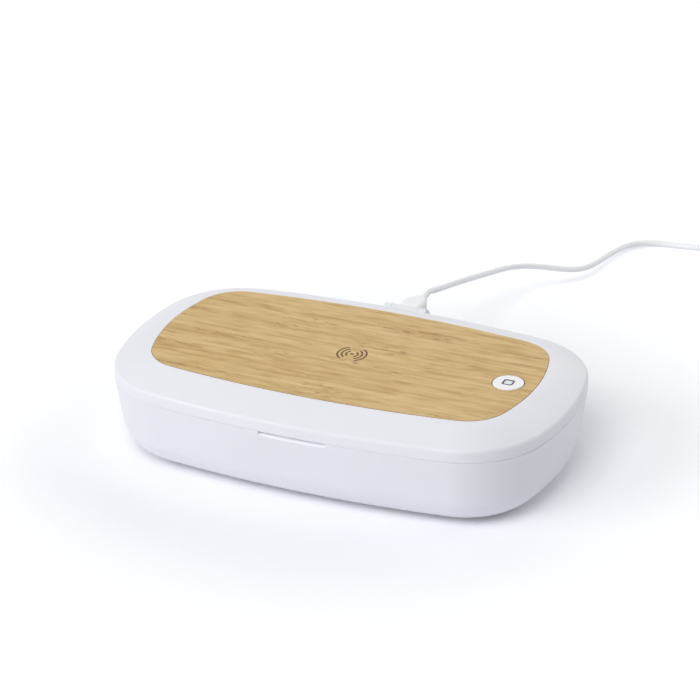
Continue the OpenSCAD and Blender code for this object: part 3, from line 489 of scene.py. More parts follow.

# %% [markdown]
# ## A piece's finish, body and place in the CAD model
#
# Each piece names the body that it moves with, its material,
# and the CAD nodes that it stands for. One helper does all of it. Smooth shading hides the
# facets of a round surface, and edges sharper than a limit stay crisp.

# %% Dress a piece, or give a CAD node its finish
def coat(obj, material, sharp=35):
    """Gives a mesh its material, smooth between edges sharper than so many degrees."""
    obj.data.materials.clear()
    obj.data.materials.append(material)
    if obj.type == "MESH":
        obj.data.shade_smooth()
        obj.data.set_sharp_from_angle(angle=math.radians(sharp))


def weigh_normals(obj):
    """Keeps large faces flat beside their rounded edges."""
    obj.modifiers.new("weigh normals", "WEIGHTED_NORMAL").keep_sharp = True


def dress(obj, body, material, slot, *stands_for, sharp=35):
    """Finishes a new piece and sets it on its body."""
    coat(obj, material, sharp)
    if obj.type == "MESH":
        weigh_normals(obj)
    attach(obj, body)
    if stands_for:
        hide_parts(*stands_for)
    print(obj.name, "rides on", body)


def finish_node(name, material, edge=0.0):
    """Gives a CAD node its material, smooth shading and, with edge, rounded edges."""
    coat(nodes[name], material)
    if edge:
        bevel(nodes[name], edge, 2)
        weigh_normals(nodes[name])


print("ready to dress pieces")

# %% [markdown]
# ## The base
#
# The base is a bowl with a generous radius under its wall. The wall leans out by eight
# degrees so that the mould releases it. At the front a shallow notch under the seam gives
# the fingers a hold; at the back the middle knuckle of the hinge stands out on its own foot.

# %% Base bowl
def fillet(centre_in, radius, z0, top, steps):
    """Rings round a fillet from straight down to the angle top; z0 is its lowest point."""
    return [box_ring(centre_in - radius * math.sin(a), z0 + radius * (1 - math.cos(a)))
            for a in np.linspace(0, top, steps + 1)]


def base_rings():
    """From the middle of the underside, out, up the wall, over its edge and down inside."""
    top = math.pi / 2 - DRAFT
    centre_in = (BASE_TOP - FOOT_H - BOTTOM_R) * math.tan(DRAFT) + BOTTOM_R / math.cos(DRAFT)
    wall_in = WALL / math.cos(DRAFT)
    lip = [box_ring(inwards, BASE_TOP - down)
           for inwards, down in round_edge_at(EDGE, np.radians((10, 35, 60, 90)))]
    return (fillet(centre_in, BOTTOM_R, FOOT_H, top, 18) + lip
            + [box_ring(wall_in - 0.2 * MM, BASE_TOP), box_ring(wall_in, BASE_TOP - 0.2 * MM)]
            + fillet(centre_in, BOTTOM_R - WALL, FOOT_H + WALL, top, 10)[::-1])


def foot_hole(x, y):
    """The stepped hole from below: a foot's recess, the screw's head and its shank."""
    steps = ((FOOT_R, 0), (FOOT_R, 2.2), (3, 2.2), (3, 4.1), (1.65, 4.1), (1.65, 8))
    return turned("foot_hole", [(r if r == FOOT_R else r * MM, z * MM) for r, z in steps], (x, y))


def on_hinge(name, r, x0, x1):
    """A round bar on the hinge's axis."""
    return post(name, r, x0, x1, (HINGE_Y, HINGE_Z), "x", 48)


def knuckle(name, x0, x1):
    """A knuckle of the hinge, with rounded ends."""
    soft = round_edge_at(KNUCKLE_SOFT)
    profile = [(HINGE_R - down, x0 + inwards) for inwards, down in soft]
    profile += [(HINGE_R - down, x1 - inwards) for inwards, down in soft[::-1]]
    return turned(name, profile, (HINGE_Y, HINGE_Z), "x", 48)


PILLAR_R, PILLAR_TOP, PIN_R = 7 * MM, 7 * MM, 1 * MM
FOOT_LOW, FOOT_BACK = 27.5 * MM, 70.5 * MM
knuckle_x = KNUCKLE_W / 2
knuckle_foot = ((HALF_WID - WALL, HINGE_Z), (HALF_WID - WALL, FOOT_LOW), (64.6 * MM, FOOT_LOW),
                (FOOT_BACK, 34.5 * MM), (FOOT_BACK, HINGE_Z))
socket_way = rounded_rectangle(8.9 * MM, 3.2 * MM, 1.59 * MM, (0, HINGE_Z))
NOTCH_W, NOTCH_TOP, NOTCH_FRONT = 34 * MM, 37.375 * MM, -67 * MM
notch_y, notch_low, notch_step = -side_y(NOTCH_W / 2), NOTCH_TOP - 2.6 * MM, NOTCH_TOP - 0.4 * MM
notch_profile = (
    (NOTCH_FRONT, notch_low), (notch_y - 0.3 * MM, notch_low), (notch_y + 1.7 * MM, notch_step),
    (notch_y + 3.4 * MM, notch_step), (notch_y + 3.4 * MM, BASE_TOP + 1 * MM),
    (NOTCH_FRONT, BASE_TOP + 1 * MM))
base_bowl = combine(
    loft("base_bowl", base_rings()),
    join=[post("pillar", PILLAR_R, FOOT_H + 0.2 * MM, PILLAR_TOP, p) for p in four(FOOT_X, FOOT_Y)]
    + [prism("knuckle_foot", knuckle_foot, "x", -knuckle_x, knuckle_x, 0.4 * MM),
       knuckle("knuckle", -knuckle_x, knuckle_x)],
    cut=[foot_hole(*p) for p in four(FOOT_X, FOOT_Y)]
    + [on_hinge("barrel_room", HINGE_R + 0.4 * MM, s * knuckle_x, s * 11.4 * MM) for s in (-1, 1)]
    + [on_hinge("pin_hole", PIN_R, s * 5.15 * MM, s * 7.5 * MM) for s in (-1, 1)]
    + [prism("socket_room", socket_way, "y", 63.2 * MM, 71.5 * MM),
       block("lead_way", (-2.9 * MM, 59 * MM, 30.6 * MM), (2.9 * MM, 64.8 * MM, HINGE_Z)),
       prism("finger_notch", notch_profile, "x", -NOTCH_W / 2, NOTCH_W / 2)])
dress(base_bowl, "base", shell_white, "white_shell", "base_shell")
print("bowl has", len(base_bowl.data.polygons), "faces")

# %% [markdown]
# ## The lid
#
# The lid's wall is short. Above it a tight shoulder turns into a broad white rim that
# swells a little and meets the panel. Under the rim the lid is hollow, with bosses for its
# screws, and a notch at the back leaves room for the base's knuckle.

# %% Lid cover
DECK_LOW = 47 * MM
SHOULDER_H, SHOULDER_R, RIM_CROWN = 44.1 * MM, 2.2 * MM, 0.6 * MM
RIM_TOP = BODY_H - 0.1 * MM
NOTCH_Y = 61.4 * MM
LINER_IN, SEAL_IN, SEAL_W = 2.7 * MM, 12.6 * MM, 2.4 * MM
RAIL_IN = (LINER_IN + SEAL_IN) / 2


def lid_rings():
    """From under the deck out, down inside the wall, up outside, over the rim, to the recess."""
    rim_angle = math.atan2(RIM_TOP - SHOULDER_H, RIM_W)
    turns = np.linspace(0, math.radians(84) - rim_angle, 12)
    shoulder = [box_ring(inwards, SHOULDER_H - down)
                for inwards, down in round_edge_at(SHOULDER_R, turns)]
    edge = panel_ring(-PANEL_FIT - 0.25 * MM, RIM_TOP)
    rim = [shoulder[-1] + (edge - shoulder[-1]) * t + (0, 0, RIM_CROWN * 4 * t * (1 - t))
           for t in np.linspace(0, 1, 15)[1:]]
    under = [panel_ring(1 * MM, DECK_LOW), box_ring(WALL + 3 * MM, SHOULDER_H - 0.5 * MM),
             box_ring(WALL + 0.4 * MM, SHOULDER_H - 2.1 * MM),
             box_ring(WALL, SHOULDER_H - 3.7 * MM), box_ring(WALL, LID_LOW + 0.2 * MM),
             box_ring(WALL - 0.2 * MM, LID_LOW)]
    lip = [box_ring(down, LID_LOW + inwards) for inwards, down in round_edge_at(EDGE)]
    inner = [panel_ring(-PANEL_FIT - 0.07 * MM, RIM_TOP - 0.07 * MM),
             panel_ring(-PANEL_FIT, RIM_TOP - 0.25 * MM), panel_ring(-PANEL_FIT, BODY_H - PANEL_T)]
    return under + lip + shoulder + rim + inner


corner_boss = box_ring(RAIL_IN, 0)[SHORT_STEPS + CORNER_STEPS // 2][:2]
LID_BOSSES = [*four(*corner_boss), *four(26 * MM, side_y(26 * MM) - RAIL_IN)]
knuckle_arm = ((HALF_WID - WALL, LID_LOW), (HINGE_Y - 1 * MM, LID_LOW),
               (HINGE_Y, HINGE_Z + HINGE_R), (HALF_WID - WALL, HINGE_Z + 3.4 * MM))
notch_x, notch_wall = KNUCKLE_W / 2 + KNUCKLE_GAP, 1.8 * MM
room_x, room_y, room_z = notch_x + notch_wall, NOTCH_Y - notch_wall, LID_LOW + 0.1 * MM
arms = [sorted((s * notch_x, s * BARREL_W / 2)) for s in (-1, 1)]
lid_cover = combine(
    loft("lid_cover", lid_rings()),
    join=[post("boss", 2.8 * MM, LID_BOSS_Z, 44.9 * MM, p, steps=32) for p in LID_BOSSES]
    + [prism("arm", knuckle_arm, "x", *arm) for arm in arms]
    + [knuckle("lid_knuckle", *arm) for arm in arms]
    + [block("notch_wall", (-room_x, room_y, room_z), (room_x, NOTCH_Y, 43.7 * MM))]
    + [block("notch_side", (x0, room_y, room_z), (x1, HALF_WID - WALL / 2, 42.7 * MM))
       for x0, x1 in ((notch_x, room_x), (-room_x, -notch_x))],
    cut=[post("screw_hole", SCREW_R, 39 * MM, 44.1 * MM, p, steps=24) for p in LID_BOSSES]
    + [block("notch", (-notch_x, NOTCH_Y, 36.7 * MM), (notch_x, 80 * MM, 67 * MM)),
       on_hinge("pin_bore", PIN_R + 0.05 * MM, -BARREL_W, BARREL_W), button_hole()])
dress(lid_cover, "lid", shell_white, "white_shell", "lid_shell")
print("lid has", len(lid_cover.data.polygons), "faces")

# %% [markdown]
# ## Bamboo
#
# The panel is laser-cut from pressed bamboo. Its strips run along the box, each a little
# lighter or darker than the next, with long streaks and short dashes in them, and dark
# flecks where a knuckle was. Noises stretched along X make them all; a number for each
# strip shifts them, so that no fibre crosses a glue line. The laser leaves the cut edge
# brown, which is a second material on the rounded edge.

# %% Bamboo finish
STRIP_W = 7.4 * MM


def bamboo_finish():
    """Pale bamboo with its fibres along X."""
    material, tree = finish("bamboo", (206, 174, 120), 0.48)
    xyz = add(tree, "SeparateXYZ", {"Vector": own_place(tree)})
    x, y = xyz.outputs["X"], xyz.outputs["Y"]
    strip = maths(tree, "FLOOR", maths(tree, "DIVIDE", maths(tree, "ADD", y, 0.5), STRIP_W))
    lot = add(tree, "TexWhiteNoise", {"W": strip}, noise_dimensions="1D").outputs["Value"]
    shifted = maths(tree, "ADD", x, maths(tree, "MULTIPLY", lot, 0.3))

    def fibres(along, across, detail, seed):
        """Noise with so many features per metre along and across the strips."""
        where = add(tree, "CombineXYZ", {"X": maths(tree, "MULTIPLY", shifted, along),
                                         "Y": maths(tree, "MULTIPLY", y, across), "Z": seed})
        return add(tree, "TexNoise", {"Vector": where.outputs[0], "Scale": 1.0,
                                      "Detail": detail}).outputs["Fac"]

    def blend(*parts):
        """The sum of values, each times its share."""
        total = maths(tree, "MULTIPLY", parts[0][0], parts[0][1])
        for value, share in parts[1:]:
            total = maths(tree, "ADD", total, maths(tree, "MULTIPLY", value, share))
        return total

    streaks, dashes = fibres(14, 300, 2, 0.3), fibres(80, 430, 4, 5.7)
    hair = fibres(160, 2600, 2, 9.1)
    tone = blend((streaks, 0.34), (dashes, 0.46), (hair, 0.14), (lot, 0.06))
    ramp = add(tree, "ValToRGB", {"Fac": tone})
    stops = ((0.34, (180, 140, 76)), (0.5, (209, 176, 115)), (0.66, (224, 194, 138)))
    ramp.color_ramp.elements.new(0.5)
    for element, (at, colour) in zip(ramp.color_ramp.elements, stops):
        element.position, element.color = at, shade(*colour)
    knuckles = spread(tree, fibres(26, 90, 1, 3.3), 0, 1, 0.58, 0.68)
    flecks = spread(tree, fibres(190, 760, 1, 7.9), 0, 0.6, 0.54, 0.66)
    mixed = add(tree, "MixRGB", {"Fac": maths(tree, "MULTIPLY", knuckles, flecks),
                                 "Color1": ramp.outputs[0], "Color2": shade(146, 94, 36)})
    link(tree, mixed.outputs[0])
    link(tree, spread(tree, hair, 0.42, 0.58), "Roughness")
    bump(tree, blend((hair, 0.6), (dashes, 1.0)), 0.02 * MM)
    return material


bamboo = bamboo_finish()
scorched = moulded("scorched_edge", (158, 122, 80), 0.6, 0.2 * MM, 0.02 * MM)
print("bamboo in strips of", STRIP_W, "m")

# %% Wooden panel
PANEL_EDGE = 0.25 * MM
panel_rings = [panel_ring(0, BODY_H - PANEL_T), panel_ring(0, BODY_H - PANEL_EDGE)]
panel_rings += [panel_ring(inwards, BODY_H - down)
                for inwards, down in round_edge_at(PANEL_EDGE, QUARTER[1:])]
wooden_panel = combine(loft("wooden_panel", panel_rings), cut=[button_hole()])
dress(wooden_panel, "lid", bamboo, "bamboo", "bamboo_panel")
wooden_panel.data.materials.append(scorched)
cut_faces = [face for face in wooden_panel.data.polygons if face.normal.z < 0.9]
for face in cut_faces:
    face.material_index = 1
print(len(cut_faces), "scorched faces")

# %% [markdown]
# ## The charging mark
#
# A dot with three arcs on either side is the usual sign for wireless charging, burnt into
# the wood over the coil. It could be painted in the material, but thin raised arcs keep
# clean edges at any size of picture.

# %% Mark on the panel
mark_brown = moulded("burnt_mark", (104, 76, 42), 0.65, 0.2 * MM, 0.02 * MM)


def mark_stroke(radius, middle, half, width):
    """The outline of an arc, seen from above; angles in degrees."""
    angles = np.radians(np.linspace(middle - half, middle + half, 24))
    sides = [np.column_stack((np.cos(a), np.sin(a))) * r
             for r, a in ((radius + width / 2, angles), (radius - width / 2, angles[::-1]))]
    return np.vstack(sides)


MARK_X, STROKE_W, HALF_ANGLE = 1.3 * MM, 0.95 * MM, 58
strokes = [mark_stroke(radius, middle, HALF_ANGLE, STROKE_W)
           for radius in (2.8 * MM, 4.9 * MM, 7 * MM) for middle in (0, 180)]
strokes.append(mark_stroke(0.45 * MM, 0, 180, 0.89 * MM))
mark_points, mark_faces = [], []
for k, flat in enumerate(strokes):
    n = len(flat)
    low, high = 2 * k * n, (2 * k + 1) * n
    mark_points += [at_height(flat, BODY_H - 0.02 * MM), at_height(flat, BODY_H + 0.03 * MM)]
    mark_faces += band(n, low, high)
    mark_faces += [tuple(range(low, low + n))[::-1], tuple(range(high, high + n))]
charging_mark = new_object("charging_mark", np.vstack(mark_points) + (MARK_X, 0, 0), mark_faces)
dress(charging_mark, "lid", mark_brown, "bamboo")

# %% [markdown]
# ## The button
#
# A round white cap stands a little proud of the wood, with a dark gap round it. In its
# middle a dark frame holds a square window that glows when the lamps are on. The cap's
# flange keeps it in the lid and a coil spring under the flange lifts it.

# %% Button
CAP_TOP = 50.3 * MM
FLANGE_Z, FLANGE_T, FLANGE_R = 45.9 * MM, 1 * MM, 9.2 * MM
WINDOW, WINDOW_FRAME, FRAME_DEPTH = 3.7 * MM, 0.9 * MM, 0.8 * MM
CAP_EDGE, PIPE_ROOM = 0.5 * MM, 3.2 * MM
AT_BUTTON = (BUTTON_X, 0)


def square(side, r):
    """A square with round corners round the middle of the button."""
    return rounded_rectangle(side, side, r, AT_BUTTON)


frame_shape, window_shape = square(WINDOW + 2 * WINDOW_FRAME, 1.3 * MM), square(WINDOW, 0.8 * MM)
frame_low = CAP_TOP - FRAME_DEPTH
cap_profile = [(FLANGE_R, FLANGE_Z), (FLANGE_R, FLANGE_Z + FLANGE_T),
               (BUTTON_R, FLANGE_Z + FLANGE_T)]
cap_profile += [(BUTTON_R - inwards, CAP_TOP - down)
                for inwards, down in round_edge_at(CAP_EDGE, np.radians(np.linspace(0, 90, 8)))]
cap = combine(turned("push_cap", cap_profile, AT_BUTTON, steps=96), cut=[
    prism("frame_room", frame_shape, "z", frame_low, CAP_TOP + 1 * MM),
    prism("pipe_room", square(PIPE_ROOM, 0.6 * MM), "z", FLANGE_Z - 1 * MM, CAP_TOP)])
dress(cap, "button", button_white, "button_white", "button_cap")

frame_dark = moulded("frame_dark", (18, 19, 22), 0.35, 0.2 * MM)
window_frame = combine(
    prism("window_frame", frame_shape, "z", frame_low, CAP_TOP, 0.08 * MM, 2),
    cut=[prism("window_room", window_shape, "z", CAP_TOP - 1 * MM, CAP_TOP + 1 * MM)])
dress(window_frame, "button", frame_dark, "frame_dark", "button_frame")

pipe_glow = moulded("light_pipe", (250, 254, 246), 0.25, 0.3 * MM, Subsurface_Weight=0.2)
light_pipe = combine(
    prism("light_pipe", window_shape, "z", frame_low, CAP_TOP - 0.05 * MM, 0.1 * MM, 2),
    join=[prism("pipe_foot", square(PIPE_ROOM - 0.1 * MM, 0.55 * MM), "z",
                45.6 * MM, frame_low + 0.1 * MM)])
dress(light_pipe, "button", pipe_glow, "light_pipe", "button_light_pipe")

# %% [markdown]
# ## Wires that are wound
#
# The return spring and the charging coil are both one wire wound round an axis. A curve
# with a round bevel is the natural way. The spring is turned into a mesh, because it
# gets shorter when the button is pressed: its top comes down and its foot stays.

# %% Spring and charging coil
spring_steel = metal("spring_steel", (200, 202, 205), 0.25)
copper = metal("enamelled_copper", (196, 118, 72), 0.32)


def wire(name, points, diameter, sides=3):
    """A round wire along points, which are in the frame's own metres."""
    curve = bpy.data.curves.new(name, "CURVE")
    curve.dimensions = "3D"
    curve.bevel_depth, curve.bevel_resolution = diameter / 2, sides
    curve.use_fill_caps = True
    spline = curve.splines.new("POLY")
    spline.points.add(len(points) - 1)
    spline.points.foreach_set("co", np.column_stack((points, np.ones(len(points)))).ravel())
    spline.use_smooth = True
    return in_scene(name, curve)


def spiral(centre, radii, heights, turns):
    """Points of a winding whose radius and height change evenly."""
    t = np.linspace(0, 1, 36 * turns + 1)
    r, z = (a + (b - a) * t for a, b in (radii, heights))
    angle = 2 * math.pi * turns * t
    x, y = centre[0] + r * np.cos(angle), centre[1] + BOX_Y + r * np.sin(angle)
    return np.column_stack((x, y, z))


SPRING_FOOT, SPRING_R, SPRING_WIRE, SPRING_TURNS = 43.35 * MM, 8 * MM, 0.4 * MM, 3
wound = spiral(AT_BUTTON, (SPRING_R, SPRING_R), (SPRING_FOOT + 0.25 * MM, FLANGE_Z - 0.25 * MM),
               SPRING_TURNS)
spring_wire = wire("return_spring", wound, SPRING_WIRE)
graph = bpy.context.evaluated_depsgraph_get()
spring_mesh = bpy.data.meshes.new_from_object(spring_wire.evaluated_get(graph))
bpy.data.objects.remove(spring_wire)
spring = in_scene("return_spring", spring_mesh)
dress(spring, "lid", spring_steel, "spring_steel", "button_spring", sharp=60)
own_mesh(spring)

COIL_WIRE, COIL_Z, WINDINGS = 1.04 * MM, 46.4 * MM, 10
wound = spiral((0, 0), (10.6 * MM, 21.4 * MM), (COIL_Z, COIL_Z), WINDINGS)
charging_winding = wire("charging_winding", wound, COIL_WIRE)
dress(charging_winding, "lid", copper, "coil_copper", "charging_coil")

# %% [markdown]
# ## The chamber
#
# Opened, the box shows a white tray with a flat ledge, a bright sheet on its floor that
# throws the light back, four soft bars that carry the phone and the windows of the lamps.
# The lid has the same: a liner, its own bright sheet, two pairs of windows, and a soft seal
# that lands on the ledge.

# %% Tray
LEDGE_W, LEDGE_Z, FLOOR_H, TRAY_T, TRAY_R = 17 * MM, 36 * MM, 14 * MM, 1.6 * MM, 7 * MM
TRAY_DRAFT, LEDGE_EDGE = math.radians(5), 0.8 * MM
tray_in = (LEDGE_W + (LEDGE_Z - FLOOR_H - TRAY_R) * math.tan(TRAY_DRAFT)
           + TRAY_R / math.cos(TRAY_DRAFT))
tray_top = math.pi / 2 - TRAY_DRAFT
flange_in = WALL / math.cos(DRAFT) + 0.3 * MM
tray_rings = fillet(tray_in, TRAY_R + TRAY_T, FLOOR_H - TRAY_T, tray_top, 8)
tray_rings += [box_ring(LEDGE_W - TRAY_T, LEDGE_Z - TRAY_T),
               box_ring(flange_in + 0.25 * MM, LEDGE_Z - TRAY_T),
               box_ring(flange_in, LEDGE_Z - 0.3 * MM), box_ring(flange_in + 0.3 * MM, LEDGE_Z)]
tray_rings += [
    box_ring(LEDGE_W - LEDGE_EDGE * math.cos(a), LEDGE_Z - LEDGE_EDGE * (1 - math.sin(a)))
    for a in np.radians((90, 65, 40, 15))]
tray_rings += fillet(tray_in, TRAY_R, FLOOR_H, tray_top, 10)[::-1]
PLACES = four(LAMP_X, LAMP_Y)


def lens_hole(x, y, face, side):
    """The stepped hole of a window that sits flush in a face; side is where the lamp is."""
    seat = sorted((face - side * MM, face + side * MM))
    way = sorted((face, face + side * 4 * MM))
    return [post("lens_seat", LENS_R + 0.05 * MM, *seat, (x, y)),
            post("lens_way", 3.2 * MM, *way, (x, y))]


MAGNET_AT = [(s * MAGNET_X, -(side_y(MAGNET_X) - RAIL_IN)) for s in (-1, 1)]
SENSOR_AT = (102.5 * MM, 0)
chamber_tray = combine(
    loft("chamber_tray", tray_rings),
    join=[post("screw_boss", 3.6 * MM, 7 * MM, 13.2 * MM, p, steps=32)
          for p in four(FOOT_X, FOOT_Y)]
    + [post("magnet_cup", 4.3 * MM, 33.4 * MM, 35.4 * MM, p, steps=40) for p in MAGNET_AT],
    cut=[tool for p in PLACES for tool in lens_hole(*p, FLOOR_H, -1)]
    + [post("boss_hole", SCREW_R, 6 * MM, 11.6 * MM, p, steps=24) for p in four(FOOT_X, FOOT_Y)]
    + [post("magnet_room", MAGNET_ROOM_R, 32.4 * MM, 35.4 * MM, p, steps=40) for p in MAGNET_AT]
    + [post("sensor_room", 2.6 * MM, 33 * MM, 35.6 * MM, SENSOR_AT, steps=32),
       block("lead_slot", (-2.9 * MM, 62 * MM, 33 * MM), (2.9 * MM, 67 * MM, 37 * MM))])
dress(chamber_tray, "base", liner_white, "liner_white", "inner_tray")

# %% Bright sheets on the chamber's floor and ceiling
foil = metal("bright_sheet", (226, 228, 232), 0.3, (0.05, 1, 1), 0.004 * MM)
CEILING_Z, CEILING_IN, CEILING_TOP = 40 * MM, 18.6 * MM, 41.4 * MM
SHEET_T, SHEET_HOLE_R = 0.4 * MM, 4.6 * MM
for name, node, inset, low, body in (
        ("floor_sheet", "floor_reflector", tray_in + 1 * MM, FLOOR_H, "base"),
        ("ceiling_sheet", "lid_reflector", CEILING_IN + 1 * MM, CEILING_Z - SHEET_T, "lid")):
    sheet = combine(
        prism(name, box_ring(inset, 0)[:, :2], "z", low, low + SHEET_T),
        cut=[post("window_hole", SHEET_HOLE_R, low - 1 * MM, low + 1.4 * MM, p) for p in PLACES])
    dress(sheet, body, foil, "reflector_sheet", node)

# %% Liner and seal of the lid
LINER_T, GROOVE, GROOVE_FIT = 1.6 * MM, 0.8 * MM, 0.1 * MM
liner_top, groove_z = LINER_LOW + LINER_T, LINER_LOW + GROOVE
groove_in, groove_out = SEAL_IN + SEAL_W + GROOVE_FIT, SEAL_IN - GROOVE_FIT
liner_rings = [box_ring(CEILING_IN + down, CEILING_Z - inwards)
               for inwards, down in round_edge_at(1 * MM)]
liner_rings += [box_ring(CEILING_IN - inwards, LINER_LOW + down)
                for inwards, down in round_edge_at(0.4 * MM)]
liner_rings += [box_ring(inset, z) for inset, z in (
    (groove_in, LINER_LOW), (groove_in, groove_z), (groove_out, groove_z), (groove_out, LINER_LOW),
    (LINER_IN + 0.3 * MM, LINER_LOW), (LINER_IN, LINER_LOW + 0.3 * MM), (LINER_IN, liner_top),
    (LEDGE_W, liner_top), (LEDGE_W, CEILING_TOP))]
head_z = LID_BOSS_Z - 1 * MM
head_room = ((2.9 * MM, 37 * MM), (2.9 * MM, head_z), (1.65 * MM, head_z), (1.65 * MM, 43 * MM))
liner = combine(
    loft("chamber_ceiling", liner_rings),
    join=[post("screw_cup", 3.5 * MM, LINER_LOW + 0.2 * MM, LID_BOSS_Z, p, steps=32)
          for p in LID_BOSSES]
    + [post("board_stake", 1.4 * MM, 40.5 * MM, 43.95 * MM, p, steps=24)
       for p in ((LAMP_X, 0), (-LAMP_X, 0), (72.5 * MM, 20 * MM), (72.5 * MM, -20 * MM))],
    cut=[turned("head_room", head_room, p, steps=32) for p in LID_BOSSES]
    + [tool for p in PLACES for tool in lens_hole(*p, CEILING_Z, 1)]
    + [post("magnet_room", MAGNET_ROOM_R, LINER_LOW + 0.6 * MM, 41.6 * MM, p, steps=40)
       for p in MAGNET_AT]
    + [block("hinge_room", (-11.6 * MM, 59.3 * MM, 37 * MM), (11.6 * MM, 90 * MM, 67 * MM))])
dress(liner, "lid", liner_white, "liner_white", "lid_liner")

soft_grey = moulded("seal_rubber", (150, 152, 156), 0.6, 0.3 * MM, 0.02 * MM)
lip_shape = MM * np.array(((0, 37), (0.3, 36.6), (0.8, 36.35), (1.2, 36.3), (1.6, 36.35),
                           (2.1, 36.6)))
seal = loft("chamber_seal", [
    box_ring(SEAL_IN, groove_z), *(box_ring(SEAL_IN + across, z) for across, z in lip_shape),
    box_ring(SEAL_IN + SEAL_W, 37 * MM), box_ring(SEAL_IN + SEAL_W, groove_z)], closed=True)
dress(seal, "lid", soft_grey, "seal_rubber", "lid_seal")

# %% Phone rests
silicone = moulded("clear_silicone", (222, 224, 228), 0.45, 0.4 * MM, 0.015 * MM,
                   Subsurface_Weight=0.15)
REST_COUNT, REST_PITCH, REST_HALF, REST_R = 4, 38 * MM, 31 * MM, 1 * MM
rest_low, rest_z = FLOOR_H + SHEET_T, FLOOR_H + SHEET_T + 2 * MM
rest_profile = np.vstack((
    ((-2 * MM, rest_low), (2 * MM, rest_low)),
    arc(np.array((0, rest_z)), REST_R, 0, math.pi, 12), ((-REST_R, rest_z),)))
rests = [prism("rest", rest_profile + ((i - (REST_COUNT - 1) / 2) * REST_PITCH, 0), "y",
               -REST_HALF, REST_HALF, 0.35 * MM) for i in range(REST_COUNT)]
bars = combine(rests[0], join=rests[1:])
bars.name = "phone_bars"
dress(bars, "base", silicone, "rest_silicone", "phone_rests")

# %% [markdown]
# ## The cord and its plugs
#
# The plug at the back has a flat rounded body, a narrower neck and a short ribbed sleeve
# that keeps the cord from kinking. At the far end sits the flat plug for a charger, beside
# the coil that a strap holds together.

# %% Cord, plug and sleeve
free_cord = wire("charging_cord", cord_line, CORD_D, 4)
PLUG_Y, NECK_Y, SLEEVE_Y = 70.8 * MM, 80.8 * MM, 84.8 * MM
HEIGHT = (0, HINGE_Z)
plug = combine(
    prism("plug_body", rounded_rectangle(11 * MM, 6.4 * MM, 2.2 * MM, HEIGHT), "y", PLUG_Y, NECK_Y,
          0.7 * MM, 4),
    join=[prism("plug_neck", rounded_rectangle(7.5 * MM, 5 * MM, 1.9 * MM, HEIGHT), "y",
                NECK_Y - 2 * MM, SLEEVE_Y, 0.5 * MM)])
dress(plug, "base", cord_white, "cord_white", "cord_plug")
RIBS, RIB_PITCH, RIB_DEPTH = 4, 1.7, 0.3 * MM
sleeve_profile = [(2.1 * MM, SLEEVE_Y - 0.3 * MM)]
for k in range(RIBS):
    y, r = SLEEVE_Y + (0.4 + RIB_PITCH * k) * MM, (2.1 - 0.06 * k) * MM
    sleeve_profile += [(r, y), (r, y + 0.9 * MM),
                       (r - RIB_DEPTH, y + 1.1 * MM), (r - RIB_DEPTH, y + 1.5 * MM)]
sleeve_profile += [(1.9 * MM, SLEEVE_Y + 7.3 * MM), (1.7 * MM, SLEEVE_Y + 8 * MM)]
sleeve = turned("plug_sleeve", sleeve_profile, HEIGHT, "y", 40)
dress(sleeve, "base", cord_white, "cord_white", "cord_strain_relief")

# %% Strap and charger plug
strap_soft = moulded("strap", (214, 216, 220), 0.75, 0.25 * MM, 0.05 * MM)
STRAP_T, STRAP_HALF, STRAP_ROOM, STRAP_ANGLE = 0.8 * MM, 4 * MM, 2.6 * MM, math.radians(-150)
strap_in, strap_out = COIL_IN_R - STRAP_ROOM, coil_out_r + STRAP_ROOM
strap_h = COIL_PITCH + CORD_D + 1.1 * MM
spin = np.array(((math.cos(STRAP_ANGLE), math.sin(STRAP_ANGLE)),
                 (-math.sin(STRAP_ANGLE), math.cos(STRAP_ANGLE))))


def strap_shape(start, end, half):
    """The strap seen from above, between two distances from the coil's middle."""
    flat = np.array(((start, -half), (end, -half), (end, half), (start, half)))
    return flat @ spin + coil_centre


strap_room = strap_shape(strap_in + STRAP_T, strap_out - STRAP_T, 2 * STRAP_HALF)
tie = combine(
    prism("coil_strap", strap_shape(strap_in, strap_out, STRAP_HALF), "z", 0, strap_h, 0.25 * MM),
    cut=[prism("strap_room", strap_room, "z", -1 * MM, strap_h - STRAP_T)])
dress(tie, "base", strap_soft, "tie_white", "cord_tie")

CHARGER_W, CHARGER_H, CHARGER_LEN, BOOT_LEN = 15.4 * MM, 8 * MM, 34 * MM, 8 * MM
at_tail = (coil_centre[0] + coil_out_r, CHARGER_Z)
charger_y = coil_centre[1] - TAIL_LEN
boot = turned("boot", ((2.9 * MM, charger_y - BOOT_LEN), (1.9 * MM, charger_y)), at_tail, "y", 40)
charger = combine(
    prism("charger_body", rounded_rectangle(CHARGER_W, CHARGER_H, 2 * MM, at_tail), "y",
          charger_y - CHARGER_LEN, charger_y - BOOT_LEN, 0.6 * MM, 4), join=[boot])
dress(charger, "base", cord_white, "cord_white", "charger_plug")
dress(free_cord, "base", cord_white, "cord_white", "cord_cable", "cord_coil")

# %% [markdown]
# ## Small parts
#
# The CAD shapes of the small parts are right as they are: feet, screws, magnets, boards,
# lamps. They only need real materials and slightly rounded edges.

# %% Finishes of the small parts
rubber = moulded("foot_rubber", (92, 94, 98), 0.75, 0.3 * MM, 0.04 * MM)
steel = metal("turned_steel", (188, 190, 194), 0.3)
plug_steel = metal("plug_steel", (206, 208, 212), 0.22, (1, 0.1, 1))
nickel = metal("nickel", (208, 206, 200), 0.2)
ceramic = moulded("lamp_ceramic", (236, 224, 176), 0.4, 0.15 * MM, 0.01 * MM)
ferrite = moulded("ferrite", (58, 58, 60), 0.7, 0.2 * MM, 0.02 * MM)
black = moulded("lead_black", (38, 39, 42), 0.5, 0.3 * MM, 0.01 * MM)


